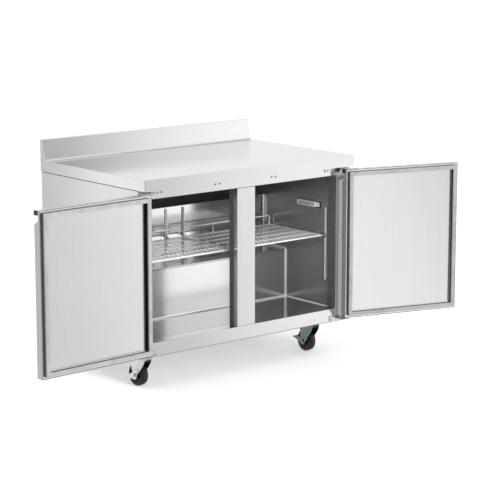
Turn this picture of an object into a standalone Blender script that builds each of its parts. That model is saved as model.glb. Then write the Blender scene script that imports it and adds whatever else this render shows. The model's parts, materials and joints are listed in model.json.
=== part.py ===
"""Two-door undercounter refrigerator with a worktop, a backsplash and four casters.

Metres, +Z up, +X to the right along the front, -Y towards the person at the doors.
Every piece is built in the cabinet's own frame (x = 0 on the centre line, y = 0 at the worktop's front,
z = 0 on the floor) under an empty, which then moves the whole object so that its box stands on the origin.
Both doors rest open, because that is how the object is shown and how its inside is reached.
"""

import math

import bmesh
import bpy
from mathutils import Matrix, Vector

# Driving dimensions -------------------------------------------------------------------------------
TOP_WIDTH = 1.207
TOP_DEPTH = 0.790
TOP_HEIGHT = 0.950
APRON = 0.051
SPLASH_RISE = 0.096
SPLASH_TOP = 0.025
SPLASH_FOOT = 0.048

BODY_WIDTH = 1.200
BODY_BOTTOM = 0.160
BODY_BACK = 0.787
FACE_Y = 0.056
FRAME_DEPTH = 0.054
OPENING_WIDTH = 1.092
OPENING_BOTTOM = 0.223
OPENING_TOP = 0.854
MULLION_WIDTH = 0.105

INNER_HALF = 0.553
FLOOR_Z = 0.220
CEILING_Z = 0.862
STEP_Y = 0.419
STEP_Z = 0.454
INSULATION = 0.045
REAR_WALL_Y = 0.735
COVER_Y = 0.5825
COVER_TOP_Z = 0.699
COVER_SLOPE = math.radians(28)

SHELF_Z = 0.566
SHELF_FRONT_Y = 0.146
SHELF_REAR_Y = 0.530
SHELF_BACKSTOP = 0.041

HINGE_X = 0.580
HINGE_Y = FACE_Y - 0.035
LEFT_DOOR_OPEN = math.radians(177)
RIGHT_DOOR_OPEN = math.radians(163.5)
DOOR_BOTTOM = 0.1807
DOOR_TOP = 0.884
PAN_DEPTH = 0.036
PAN_HINGE_EDGE = 0.013
PAN_FREE_EDGE = 0.5767
GASKET_HEIGHT = 0.018
GASKET_FACE = 0.018
GASKET_INSET = 0.011
GRIP_DEPTH = 0.0245
GRIP_LIP = 0.021
GRIP_FLOOR = 0.039
GRIP_SLOPE_END = 0.058

CASTER_X = 0.496
CASTER_FRONT_Y = 0.1625
CASTER_REAR_Y = 0.650
CASTER_TRAIL = 0.040
CASTER_HEADINGS = {"front_left": 94, "front_right": 89, "rear_left": 84, "rear_right": 97}
WHEEL_RADIUS = 0.051
WHEEL_WIDTH = 0.032
FORK_SHEET = 0.0025
BRAKE_TRAVEL = math.radians(27)

SHEET = 0.0012
GAP = 0.0003

TOP_HALF = TOP_WIDTH / 2
BODY_HALF = BODY_WIDTH / 2
OPENING_HALF = OPENING_WIDTH / 2
BODY_TOP = TOP_HEIGHT - SHEET - GAP
FRAME_BACK = FACE_Y + FRAME_DEPTH
PAN_INNER_Y = FACE_Y - HINGE_Y - 0.0005 - GASKET_HEIGHT
PAN_OUTER_Y = PAN_INNER_Y - PAN_DEPTH
GASKET_HINGE_U = -PAN_HINGE_EDGE + GASKET_INSET + 0.003
GASKET_FREE_U = PAN_FREE_EDGE - GASKET_INSET
GASKET_LOW_Z = DOOR_BOTTOM + GASKET_INSET
GASKET_HIGH_Z = DOOR_TOP - GASKET_INSET
LEG_INNER = WHEEL_WIDTH / 2 + 0.0035
LEG_OUTER = LEG_INNER + FORK_SHEET

OBJECT = "undercounter_refrigerator"


# Scene and materials ------------------------------------------------------------------------------
def clear_scene():
    for item in list(bpy.data.objects):
        bpy.data.objects.remove(item, do_unlink=True)


def new_collection(name):
    made = bpy.data.collections.new(name)
    bpy.context.scene.collection.children.link(made)
    return made


def material(name, color, roughness, metallic):
    made = bpy.data.materials.new(name)
    made.use_nodes = True
    shader = made.node_tree.nodes["Principled BSDF"]
    shader.inputs["Base Color"].default_value = (*color, 1.0)
    shader.inputs["Roughness"].default_value = roughness
    shader.inputs["Metallic"].default_value = metallic
    return made


clear_scene()
PARTS = new_collection(OBJECT)
CUTTERS = new_collection("cutters")

STAINLESS = material("stainless", (0.62, 0.62, 0.61), 0.28, 1.0)
LINER = material("liner_stainless", (0.52, 0.52, 0.52), 0.22, 1.0)
GALVANISED = material("galvanised", (0.50, 0.51, 0.52), 0.45, 1.0)
ZINC = material("zinc", (0.74, 0.76, 0.75), 0.25, 1.0)
GASKET = material("gasket", (0.42, 0.43, 0.43), 0.55, 0.0)
BLACK = material("black_plastic", (0.02, 0.02, 0.02), 0.45, 0.0)
TYRE = material("tyre", (0.025, 0.025, 0.027), 0.60, 0.0)
WHITE = material("white_plastic", (0.78, 0.79, 0.78), 0.40, 0.0)
EPOXY = material("epoxy_wire", (0.80, 0.81, 0.82), 0.32, 0.1)
ALUMINIUM = material("aluminium_fins", (0.70, 0.71, 0.72), 0.40, 1.0)
ENAMEL = material("black_enamel", (0.03, 0.03, 0.03), 0.35, 0.2)


# Building blocks ----------------------------------------------------------------------------------
def add_object(name, mesh, finish, parent, collection=None):
    item = bpy.data.objects.new(name, mesh)
    (collection or PARTS).objects.link(item)
    item.parent = parent
    if finish is not None:
        mesh.materials.append(finish)
    return item


def empty(name, location, parent=None, turn=0.0):
    item = bpy.data.objects.new(name, None)
    item.empty_display_size = 0.05
    item.location = location
    item.rotation_euler = (0.0, 0.0, turn)
    item.parent = parent
    PARTS.objects.link(item)
    return item


def mesh_from(build, name):
    mesh = bpy.data.meshes.new(name)
    work = bmesh.new()
    build(work)
    bmesh.ops.recalc_face_normals(work, faces=work.faces)
    work.to_mesh(mesh)
    work.free()
    return mesh


def add_box(work, low, high):
    low = Vector(low)
    high = Vector(high)
    place = Matrix.Translation((low + high) / 2) @ Matrix.Diagonal((*(high - low), 1.0))
    bmesh.ops.create_cube(work, size=1.0, matrix=place)


def box(name, low, high, finish, parent, rounding=0.0):
    item = add_object(name, mesh_from(lambda work: add_box(work, low, high), name), finish, parent)
    if rounding:
        round_edges(item, rounding)
    return item


def round_edges(item, width, segments=2):
    bevel = item.modifiers.new("rounding", "BEVEL")
    bevel.width = width
    bevel.segments = segments
    bevel.limit_method = "ANGLE"


def add_prism(work, outline, start, end, axis):
    """Extrudes an outline along an axis. The outline's coordinates are the other two axes, in order."""
    others = [k for k in range(3) if k != axis]
    corners = []
    for first, second in outline:
        point = [0.0, 0.0, 0.0]
        point[axis] = start
        point[others[0]] = first
        point[others[1]] = second
        corners.append(work.verts.new(point))
    face = work.faces.new(corners)
    grown = bmesh.ops.extrude_face_region(work, geom=[face])
    moved = [part for part in grown["geom"] if isinstance(part, bmesh.types.BMVert)]
    step = Vector((0.0, 0.0, 0.0))
    step[axis] = end - start
    bmesh.ops.translate(work, verts=moved, vec=step)


def prism(name, outline, start, end, axis, finish, parent):
    mesh = mesh_from(lambda work: add_prism(work, outline, start, end, axis), name)
    return add_object(name, mesh, finish, parent)


def add_rod(work, start, end, radius, sides=16):
    start = Vector(start)
    end = Vector(end)
    turn = (end - start).to_track_quat("Z", "Y").to_matrix().to_4x4()
    place = Matrix.Translation((start + end) / 2) @ turn
    bmesh.ops.create_cone(
        work,
        cap_ends=True,
        segments=sides,
        radius1=radius,
        radius2=radius,
        depth=(end - start).length,
        matrix=place,
    )


def turned(name, profile, finish, parent, location=(0, 0, 0), rotation=(0, 0, 0), sides=32):
    """A turned shape about local Z. The profile's points are (radius, height), top to bottom along its
    outer side; a profile whose radii stay above zero is closed into a ring."""
    ring = min(radius for radius, _ in profile) > 0
    mesh = bpy.data.meshes.new(name)
    edges = [(k, k + 1) for k in range(len(profile) - 1)]
    if ring:
        edges.append((len(profile) - 1, 0))
    mesh.from_pydata([(radius, 0.0, height) for radius, height in profile], edges, [])
    item = add_object(name, mesh, finish, parent)
    item.location = location
    item.rotation_euler = rotation
    screw = item.modifiers.new("turning", "SCREW")
    screw.angle = math.tau
    screw.steps = sides
    screw.render_steps = sides
    screw.use_merge_vertices = True
    screw.merge_threshold = 0.00005
    screw.use_normal_calculate = False
    return item


def plate(name, outline, holes, thickness, finish, parent, frame):
    """A flat plate with holes: a filled 2D curve, laid in the plane of the given 4 x 4 frame."""
    curve = bpy.data.curves.new(name, "CURVE")
    curve.dimensions = "2D"
    curve.fill_mode = "BOTH"
    curve.extrude = thickness / 2
    for loop in [outline, *holes]:
        spline = curve.splines.new("POLY")
        spline.points.add(len(loop) - 1)
        for point, (x, y) in zip(spline.points, loop):
            point.co = (x, y, 0.0, 1.0)
        spline.use_cyclic_u = True
    return meshed(name, curve, finish, parent, frame)


def wire(name, points, radius, finish, parent, resolution=2):
    """A bent wire: a poly curve with a round section and filled caps, made a mesh."""
    curve = bpy.data.curves.new(name, "CURVE")
    curve.dimensions = "3D"
    curve.bevel_depth = radius
    curve.bevel_resolution = resolution
    curve.use_fill_caps = True
    spline = curve.splines.new("POLY")
    spline.points.add(len(points) - 1)
    for point, place in zip(spline.points, points):
        point.co = (*place, 1.0)
    return meshed(name, curve, finish, parent, Matrix.Identity(4))


def meshed(name, curve, finish, parent, frame):
    source = bpy.data.objects.new(name + "_curve", curve)
    PARTS.objects.link(source)
    source.matrix_world = frame
    bpy.context.view_layer.update()
    evaluated = source.evaluated_get(bpy.context.evaluated_depsgraph_get())
    mesh = bpy.data.meshes.new_from_object(evaluated)
    work = bmesh.new()
    work.from_mesh(mesh)
    bmesh.ops.remove_doubles(work, verts=work.verts, dist=0.00001)
    bmesh.ops.transform(work, matrix=frame, verts=work.verts)
    bmesh.ops.recalc_face_normals(work, faces=work.faces)
    work.to_mesh(mesh)
    work.free()
    bpy.data.objects.remove(source, do_unlink=True)
    mesh.materials.clear()
    mesh.name = name
    return add_object(name, mesh, finish, parent)


def cutter(name, build, parent):
    item = add_object(name, mesh_from(build, name), None, parent, CUTTERS)
    item.hide_render = True
    item.display_type = "WIRE"
    return item


def boolean(item, tool, operation):
    cut = item.modifiers.new(operation.lower(), "BOOLEAN")
    cut.operation = operation
    cut.object = tool
    cut.solver = "EXACT"
    cut.use_self = True


def cut_away(item, build):
    boolean(item, cutter(item.name + "_cut", build, item.parent), "DIFFERENCE")


def join_on(item, build):
    boolean(item, cutter(item.name + "_join", build, item.parent), "UNION")


def smooth(item, angle=30):
    item.data.shade_smooth()
    item.data.set_sharp_from_angle(angle=math.radians(angle))


# Worktop ------------------------------------------------------------------------------------------
def worktop_outline(inset):
    """The worktop's section in Y and Z: front apron, flat top, coved foot of the splash and its back."""
    front = inset
    back = TOP_DEPTH - inset
    top = TOP_HEIGHT - inset
    splash = TOP_HEIGHT + SPLASH_RISE - inset
    foot = TOP_DEPTH - SPLASH_FOOT + inset
    crest = TOP_DEPTH - SPLASH_TOP + inset
    low = TOP_HEIGHT - APRON - (0.01 if inset else 0.0)
    cove = 0.012
    steps = 4
    arc = [
        (foot - cove + cove * math.sin(k / steps * 1.3), top + cove - cove * math.cos(k / steps * 1.3))
        for k in range(steps + 1)
    ]
    return [(front, low), (front, top), *arc, (crest, splash), (back, splash), (back, low)]


def build_worktop(cabinet):
    """One bent and welded sheet: a shallow pan with the splash standing at its back, open underneath."""
    item = prism("worktop", worktop_outline(0.0), -TOP_HALF, TOP_HALF, 0, STAINLESS, cabinet)
    round_edges(item, 0.0025)
    inside = TOP_HALF - SHEET
    cut_away(item, lambda work: add_prism(work, worktop_outline(SHEET), -inside, inside, 0))
    return item


# Cabinet body -------------------------------------------------------------------------------------
def build_shell(cabinet):
    """Outer sheets and the base pan that carries everything."""
    for name, side in (("left_side_panel", -1), ("right_side_panel", 1)):
        edges = sorted((side * BODY_HALF, side * (BODY_HALF - SHEET)))
        box(name, (edges[0], FACE_Y, BODY_BOTTOM), (edges[1], BODY_BACK, BODY_TOP), STAINLESS, cabinet)
    inner = BODY_HALF - SHEET - GAP
    box(
        "base_pan",
        (-inner, FACE_Y + GAP, BODY_BOTTOM),
        (inner, BODY_BACK, BODY_BOTTOM + SHEET),
        GALVANISED,
        cabinet,
    )
    box(
        "back_panel",
        (-inner, BODY_BACK - SHEET, STEP_Z - INSULATION),
        (inner, BODY_BACK, BODY_TOP),
        GALVANISED,
        cabinet,
    )


def build_face_frame(cabinet):
    """The frame round the two openings: posts, rails and mullion, folded from sheet and foamed."""
    low = BODY_BOTTOM + SHEET + GAP
    post_outer = BODY_HALF - SHEET - GAP
    rail_half = OPENING_HALF - GAP
    pieces = {
        "left_post": ((-post_outer, low), (-OPENING_HALF, BODY_TOP)),
        "right_post": ((OPENING_HALF, low), (post_outer, BODY_TOP)),
        "top_rail": ((-rail_half, OPENING_TOP), (rail_half, BODY_TOP)),
        "bottom_rail": ((-rail_half, low), (rail_half, OPENING_BOTTOM)),
        "mullion": ((-MULLION_WIDTH / 2, OPENING_BOTTOM + GAP), (MULLION_WIDTH / 2, OPENING_TOP - GAP)),
    }
    for name, ((x0, z0), (x1, z1)) in pieces.items():
        box(name, (x0, FACE_Y, z0), (x1, FRAME_BACK, z1), STAINLESS, cabinet, 0.0015)


def build_liner(cabinet):
    """The insulated inner box: each wall is its liner sheet with the foam bonded behind it."""
    outer = BODY_HALF - SHEET - GAP
    front = FRAME_BACK + GAP
    back = BODY_BACK - SHEET - GAP
    base = BODY_BOTTOM + SHEET + GAP
    inner = INNER_HALF - GAP
    for name, side in (("liner_left_wall", -1), ("liner_right_wall", 1)):
        edges = sorted((side * INNER_HALF, side * outer))
        box(name, (edges[0], front, base), (edges[1], back, BODY_TOP), LINER, cabinet)
    box("liner_ceiling", (-inner, front, CEILING_Z), (inner, REAR_WALL_Y - GAP, BODY_TOP), LINER, cabinet)
    box("liner_back_wall", (-inner, REAR_WALL_Y, STEP_Z + GAP), (inner, back, BODY_TOP), LINER, cabinet)
    box("liner_floor", (-inner, front, base), (inner, STEP_Y - GAP, FLOOR_Z), LINER, cabinet)
    under = STEP_Z - INSULATION
    outline = [
        (STEP_Y, base),
        (STEP_Y, STEP_Z),
        (back, STEP_Z),
        (back, under + GAP),
        (STEP_Y + INSULATION, under + GAP),
        (STEP_Y + INSULATION, base),
    ]
    prism("compressor_step", outline, -inner, inner, 0, LINER, cabinet)


def cover_path():
    """The evaporator cover's front face and its top, which slopes back and up to the rear wall."""
    reach = REAR_WALL_Y - GAP - COVER_Y
    return [
        (COVER_Y, STEP_Z + GAP),
        (COVER_Y, COVER_TOP_Z),
        (COVER_Y + reach, COVER_TOP_Z + reach * math.tan(COVER_SLOPE)),
    ]


def build_evaporator(cabinet):
    """Finned coil and its fan behind a stainless cover, its intake below and its outlet on the slope."""
    path = cover_path()
    tilt = COVER_SLOPE / 2 + math.radians(45)
    corner = (path[1][0] + SHEET, path[1][1] - SHEET / math.tan(tilt))
    last = (path[2][0], path[2][1] - SHEET / math.cos(COVER_SLOPE))
    outline = [*path, last, corner, (path[0][0] + SHEET, path[0][1])]
    inner = INNER_HALF - 2 * GAP
    cover = prism("evaporator_cover", outline, -inner, inner, 0, LINER, cabinet)

    def air_slots(work):
        for k in range(-2, 3):
            x = k * 0.2
            low = STEP_Z + 0.014
            add_box(work, (x - 0.08, COVER_Y - 0.01, low), (x + 0.08, COVER_Y + 0.01, low + 0.009))
            add_box(work, (x - 0.08, 0.695, COVER_TOP_Z), (x + 0.08, 0.710, COVER_TOP_Z + 0.1))

    cut_away(cover, air_slots)
    fins("evaporator_coil", (-0.36, 0.640, 0.512), (0.36, 0.715, 0.652), 22, ALUMINIUM, cabinet)


def fins(name, low, high, count, finish, parent):
    """A finned coil block: a row of fins standing on a solid core, as one comb-shaped section."""
    pitch = (high[0] - low[0]) / count
    core = low[1] + (high[1] - low[1]) * 0.55
    outline = [(low[0], high[1])]
    for k in range(count):
        start = low[0] + k * pitch
        edge = start + pitch * 0.35
        outline += [(start, low[1]), (edge, low[1]), (edge, core), (start + pitch, core)]
    outline += [(high[0], high[1])]
    return prism(name, outline, low[2], high[2], 2, finish, parent)


def fan(name, centre, radius, blades, parent):
    """A fan rotor on its own axis, which lies along Y: a round hub with twisted blades."""
    axis = empty(name + "_axis", centre, parent)
    depth = 0.018
    hub = radius * 0.32
    half = depth / 2
    profile = [(0.0, half), (hub * 0.8, half), (hub, half / 2), (hub, -half), (0.0, -half)]
    item = turned(name, profile, BLACK, axis, rotation=(math.pi / 2, 0, 0), sides=20)

    def add_blades(work):
        for k in range(blades):
            start = len(work.verts)
            add_box(work, (hub * 0.7, -radius * 0.27, -0.0012), (radius, radius * 0.27, 0.0012))
            work.verts.ensure_lookup_table()
            fresh = work.verts[start:]
            pitch = Matrix.Rotation(math.radians(24), 4, "X")
            turn = Matrix.Rotation(math.tau * k / blades, 4, "Z")
            bmesh.ops.transform(work, matrix=turn @ pitch, verts=fresh)

    tool = cutter(name + "_join", add_blades, axis)
    tool.rotation_euler = (math.pi / 2, 0, 0)
    boolean(item, tool, "UNION")
    return item


def build_machine_room(cabinet):
    """Compressor, condenser, its fan, the condensate tray, the rear grille and the cord gland."""
    floor = BODY_BOTTOM + SHEET + GAP
    shell = 0.078
    crown = [math.radians(a) for a in (25, 50, 75, 90)]
    dome = [(0.0, 0.185)]
    dome += [(shell * math.sin(a), 0.125 + 0.060 * math.cos(a)) for a in crown]
    dome += [(shell, 0.045), (0.083, 0.040), (0.083, 0.034), (0.074, 0.026), (0.060, 0.008), (0.0, 0.008)]
    x, y = (-0.36, 0.630)
    compressor = turned("compressor", dome, ENAMEL, cabinet, (x, y, floor), sides=20)

    def feet(work):
        add_box(work, (x - 0.10, y - 0.055, floor + 0.004), (x + 0.10, y + 0.055, floor + 0.012))
        for dx in (-0.085, 0.085):
            for dy in (-0.04, 0.04):
                at = (x + dx, y + dy)
                add_rod(work, (*at, floor), (*at, floor + 0.008), 0.009, 10)

    join_on(compressor, feet)
    coil_low = (0.14, 0.690, floor + 0.012)
    coil_high = (0.46, 0.750, floor + 0.212)
    coil = fins("condenser_coil", coil_low, coil_high, 14, ALUMINIUM, cabinet)
    join_on(coil, lambda work: add_box(work, (0.17, 0.700, floor), (0.43, 0.745, floor + 0.02)))
    fan("condenser_fan", (0.30, 0.655, floor + 0.115), 0.092, 5, cabinet)
    fan("evaporator_fan", (0.0, 0.612, 0.582), 0.062, 5, cabinet)
    tray = box("drain_pan", (-0.20, 0.56, floor), (0.04, 0.74, floor + 0.035), BLACK, cabinet)
    cut_away(tray, lambda work: add_box(work, (-0.197, 0.563, floor + 0.003), (0.037, 0.737, floor + 0.05)))

    half = BODY_HALF - SHEET - GAP
    low = BODY_BOTTOM + SHEET + GAP
    high = STEP_Z - INSULATION - GAP
    outline = [(-half, low), (half, low), (half, high), (-half, high)]
    slot_half = 0.15
    slots = []
    for x in (-0.36, 0.0, 0.36):
        for k in range(5):
            z = low + 0.080 + k * 0.030
            slots.append(rectangle(x - slot_half, z - 0.004, x + slot_half, z + 0.004))
    gland_at = (-0.50, low + 0.035)
    slots.append(circle(gland_at, 0.0125, 16))
    upright = Matrix.Translation((0, BODY_BACK - SHEET / 2, 0)) @ Matrix.Rotation(math.pi / 2, 4, "X")
    plate("rear_grille", outline, slots, SHEET, GALVANISED, cabinet, upright)
    flange, shank, bore = (0.0165, 0.0115, 0.0055)
    face, seat, tail = (0.0022, 0.0004, -0.012)
    profile = [(flange, face), (flange, seat), (shank, seat), (shank, tail), (bore, tail), (bore, face)]
    place = (gland_at[0], BODY_BACK, gland_at[1])
    turned("cord_gland", profile, BLACK, cabinet, place, (-math.pi / 2, 0, 0), 20)


def rectangle(x0, y0, x1, y1):
    return [(x0, y0), (x1, y0), (x1, y1), (x0, y1)]


def circle(centre, radius, sides):
    turns = [math.tau * k / sides for k in range(sides)]
    return [(centre[0] + radius * math.cos(t), centre[1] + radius * math.sin(t)) for t in turns]


# Inside fittings ----------------------------------------------------------------------------------
def build_pilasters(cabinet):
    """Slotted strips that carry the shelves: two on the right wall, two on the evaporator cover."""
    width = 0.012
    depth = 0.003
    pitch = 0.0254
    facing_left = Matrix.Rotation(-math.pi / 2, 4, "Y") @ Matrix.Rotation(-math.pi / 2, 4, "Z")
    facing_front = Matrix.Rotation(math.pi / 2, 4, "X")
    wall = INNER_HALF - depth / 2 - GAP
    cover = COVER_Y - depth / 2 - GAP
    places = {
        "right_front_pilaster": ((wall, 0.131, 0.0), facing_left, 0.348),
        "right_rear_pilaster": ((wall, 0.560, 0.0), facing_left, STEP_Z + 0.008),
        "centre_left_pilaster": ((-0.049, cover, 0.0), facing_front, STEP_Z + 0.008),
        "centre_right_pilaster": ((0.052, cover, 0.0), facing_front, STEP_Z + 0.008),
    }
    top = 0.692
    for name, (place, turn, bottom) in places.items():
        outline = rectangle(-width / 2, bottom, width / 2, top)
        count = int((top - bottom - 0.012) / pitch)
        slots = [
            rectangle(-0.003, top - 0.018 - k * pitch - 0.005, 0.003, top - 0.018 - k * pitch + 0.005)
            for k in range(count)
        ]
        plate(name, outline, slots, depth, ZINC, cabinet, Matrix.Translation(place) @ turn)


def build_shelves(cabinet):
    """Two wire shelves, each a lattice of wires with a raised rail along its back edge."""
    thickness = 0.005
    rim = 0.006
    bar = 0.0025
    for name, side in (("left_shelf", -1), ("right_shelf", 1)):
        x0, x1 = sorted((side * 0.006, side * 0.547))
        outline = rectangle(x0, SHELF_FRONT_Y, x1, SHELF_REAR_Y)
        columns = 12
        rows = 3
        holes = []
        for i in range(columns):
            for j in range(rows):
                left = x0 + rim + (x1 - x0 - 2 * rim) * i / columns
                right = x0 + rim + (x1 - x0 - 2 * rim) * (i + 1) / columns
                near = SHELF_FRONT_Y + rim + (SHELF_REAR_Y - SHELF_FRONT_Y - 2 * rim) * j / rows
                far = SHELF_FRONT_Y + rim + (SHELF_REAR_Y - SHELF_FRONT_Y - 2 * rim) * (j + 1) / rows
                holes.append(rectangle(left + bar / 2, near + bar / 2, right - bar / 2, far - bar / 2))
        middle = SHELF_Z - thickness / 2
        level = Matrix.Translation((0, 0, middle))
        shelf = plate(name, outline, holes, thickness, EPOXY, cabinet, level)
        back = SHELF_REAR_Y - rim / 2 - 0.0002
        points = backstop_points(x0 + 0.006, x1 - 0.006, back, middle)
        rail = wire(name + "_join", points, 0.0028, None, cabinet)
        PARTS.objects.unlink(rail)
        CUTTERS.objects.link(rail)
        rail.hide_render = True
        rail.display_type = "WIRE"
        boolean(shelf, rail, "UNION")


def backstop_points(left, right, y, base):
    """A wire that rises from the shelf, turns along its back edge and comes down again."""
    bend = 0.012
    top = SHELF_Z + SHELF_BACKSTOP - 0.0028
    quarter = [math.radians(15 * k) for k in range(7)]
    points = [(left, y, base)]
    points += [(left + bend - bend * math.cos(a), y, top - bend + bend * math.sin(a)) for a in quarter]
    points += [(right - bend + bend * math.sin(a), y, top - bend + bend * math.cos(a)) for a in quarter]
    points.append((right, y, base))
    return points


def build_thermometer(cabinet):
    """The plain temperature display on the right wall."""
    wall = INNER_HALF - GAP
    box("thermometer", (wall - 0.016, 0.176, 0.686), (wall, 0.324, 0.712), WHITE, cabinet, 0.003)


# Doors --------------------------------------------------------------------------------------------
def door_outline(inset, back):
    """The door's section in Y and Z, with the pull along its top: a lip, a finger channel and a slope."""
    outer = PAN_OUTER_Y + inset
    low = DOOR_BOTTOM + inset
    top = DOOR_TOP - inset
    channel = PAN_OUTER_Y + GRIP_DEPTH + inset
    lip_under = DOOR_TOP - GRIP_LIP + (inset if inset else 0.0)
    shelf = DOOR_TOP - GRIP_FLOOR - inset
    slope = DOOR_TOP - GRIP_SLOPE_END - inset * 0.6
    points = [(outer, low), (outer, slope), (channel, shelf)]
    if inset < GRIP_LIP / 2:
        points += [(channel, lip_under), (outer, lip_under), (outer, top)]
    points += [(back, top), (back, low)]
    return points


def mirrored_span(side, start, end):
    """A span measured from the hinge towards the free edge, as low and high X in the door's own frame."""
    return sorted((-side * start, -side * end))


def build_door(name, side, open_angle, cabinet):
    axis = empty(name + "_axis", (side * HINGE_X, HINGE_Y, 0.0), cabinet, side * open_angle)
    pan = mirrored_span(side, -PAN_HINGE_EDGE, PAN_FREE_EDGE)
    inside = mirrored_span(side, -PAN_HINGE_EDGE + SHEET, PAN_FREE_EDGE - SHEET)
    skin = prism(name + "_skin", door_outline(0.0, PAN_INNER_Y), *pan, 0, STAINLESS, axis)

    def hollow(work):
        add_prism(work, door_outline(SHEET, PAN_INNER_Y + 0.01), *inside, 0)

    cut_away(skin, hollow)
    boolean(skin, cutter(name + "_bores", hinge_bores, axis), "DIFFERENCE")

    slack = SHEET + GAP
    core = mirrored_span(side, -PAN_HINGE_EDGE + slack, PAN_FREE_EDGE - slack)
    liner = prism(name + "_liner", door_outline(slack, PAN_INNER_Y), *core, 0, LINER, axis)
    pocket = mirrored_span(side, GASKET_HINGE_U + GASKET_FACE - 0.002, GASKET_FREE_U - GASKET_FACE + 0.002)

    def recess(work):
        low = GASKET_LOW_Z + GASKET_FACE - 0.002
        high = GASKET_HIGH_Z - GASKET_FACE + 0.002
        add_box(work, (pocket[0], PAN_INNER_Y - 0.003, low), (pocket[1], PAN_INNER_Y + 0.01, high))

    cut_away(liner, recess)
    boolean(liner, bpy.data.objects[name + "_bores"], "DIFFERENCE")

    ring = mirrored_span(side, GASKET_HINGE_U, GASKET_FREE_U)
    base = PAN_INNER_Y + GAP
    face = PAN_INNER_Y + GASKET_HEIGHT
    gasket = box(
        name + "_gasket", (ring[0], base, GASKET_LOW_Z), (ring[1], face, GASKET_HIGH_Z), GASKET, axis, 0.002
    )
    window = mirrored_span(side, GASKET_HINGE_U + GASKET_FACE, GASKET_FREE_U - GASKET_FACE)

    def middle(work):
        low = GASKET_LOW_Z + GASKET_FACE
        high = GASKET_HIGH_Z - GASKET_FACE
        add_box(work, (window[0], base - 0.01, low), (window[1], face + 0.01, high))

    cut_away(gasket, middle)
    cap = 0.0015
    for end, edge, direction in (("hinge", -PAN_HINGE_EDGE, -1), ("free", PAN_FREE_EDGE, 1)):
        start = edge + direction * GAP
        low, high = mirrored_span(side, start, start + direction * cap)
        box(
            f"{name}_{end}_grip_cap",
            (low, PAN_OUTER_Y, DOOR_TOP - GRIP_LIP),
            (high, PAN_OUTER_Y + 0.023, DOOR_TOP),
            BLACK,
            axis,
            0.0005,
        )


def hinge_bores(work):
    """The two bores that take the hinge pins, on the door's axis."""
    add_rod(work, (0, 0, DOOR_TOP - 0.022), (0, 0, DOOR_TOP + 0.01), 0.0048, 20)
    add_rod(work, (0, 0, DOOR_BOTTOM - 0.01), (0, 0, DOOR_BOTTOM + 0.022), 0.0048, 20)


def build_hinges(cabinet):
    """Four bracket hinges, screwed to the face frame, each with the pin that its door turns on."""
    plate_thick = 0.003
    face = FACE_Y - GAP
    for side_name, side in (("left", -1), ("right", 1)):
        for end, arm_z, direction in (("top", DOOR_TOP + 0.0035, -1), ("bottom", DOOR_BOTTOM - 0.0065, 1)):
            name = f"{side_name}_{end}_hinge"
            outer = side * (BODY_HALF - 0.001)
            arm_inner = side * (HINGE_X - 0.030)
            flange_inner = side * (HINGE_X - (0.110 if end == "top" else 0.072))
            arm_x = sorted((outer, arm_inner))
            flange_x = sorted((outer, flange_inner))
            flange_z = (arm_z - 0.011, arm_z + 0.015)
            if end == "top":
                flange_z = (arm_z - 0.014, arm_z + plate_thick)
            item = box(
                name,
                (arm_x[0], HINGE_Y - 0.013, arm_z),
                (arm_x[1], face, arm_z + plate_thick),
                ZINC,
                cabinet,
            )

            def flange_and_pin(work, side=side, fx=flange_x, fz=flange_z, z=arm_z, way=direction):
                add_box(work, (fx[0], face - plate_thick, fz[0]), (fx[1], face, fz[1]))
                middle = z + plate_thick / 2
                tip = middle + way * 0.019
                add_rod(work, (side * HINGE_X, HINGE_Y, middle), (side * HINGE_X, HINGE_Y, tip), 0.004, 20)

            join_on(item, flange_and_pin)


# Casters ------------------------------------------------------------------------------------------
def build_caster(corner, x, y, with_brake, cabinet):
    """Mounting plate with its kingpin, swivelling fork with the axle bolt, wheel, and a front brake."""
    name = corner + "_caster"
    top = BODY_BOTTOM - GAP
    plate_low = top - 0.0035
    race_low = plate_low - 0.010
    crown_top = race_low - GAP
    crown_low = crown_top - 0.007
    low = (x - 0.048, y - 0.034, plate_low)
    mount = box(name + "_plate", low, (x + 0.048, y + 0.034, top), ZINC, cabinet)

    def race_and_kingpin(work):
        add_rod(work, (x, y, race_low), (x, y, plate_low + 0.001), 0.028, 20)
        add_rod(work, (x, y, crown_low - 0.008), (x, y, plate_low), 0.005, 12)
        add_rod(work, (x, y, crown_low - 0.008), (x, y, crown_low - GAP), 0.009, 6)

    join_on(mount, race_and_kingpin)

    swivel = empty(name + "_swivel", (x, y, 0.0), cabinet, math.radians(CASTER_HEADINGS[corner]))
    build_fork(name, crown_low, crown_top, with_brake, swivel)
    axle = empty(name + "_axle", (CASTER_TRAIL, 0.0, WHEEL_RADIUS), swivel)
    build_wheel(name, axle)
    if with_brake:
        build_brake(name, corner == "front_left", swivel)


def leg_outline(crown_top):
    """The fork's leg from the side: raked in front, round at the axle and upright behind."""
    end = 0.013
    arc = [
        (CASTER_TRAIL + end * math.cos(math.radians(a)), WHEEL_RADIUS + end * math.sin(math.radians(a)))
        for a in (-140, -105, -70, -35, 0)
    ]
    rake = [(-0.014, 0.100), (0.012, 0.068)]
    trailing = [(CASTER_TRAIL + 0.023, 0.080), (CASTER_TRAIL + 0.023, crown_top - 0.004)]
    return [(-0.026, crown_top - 0.004), *rake, *arc, *trailing]


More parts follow.
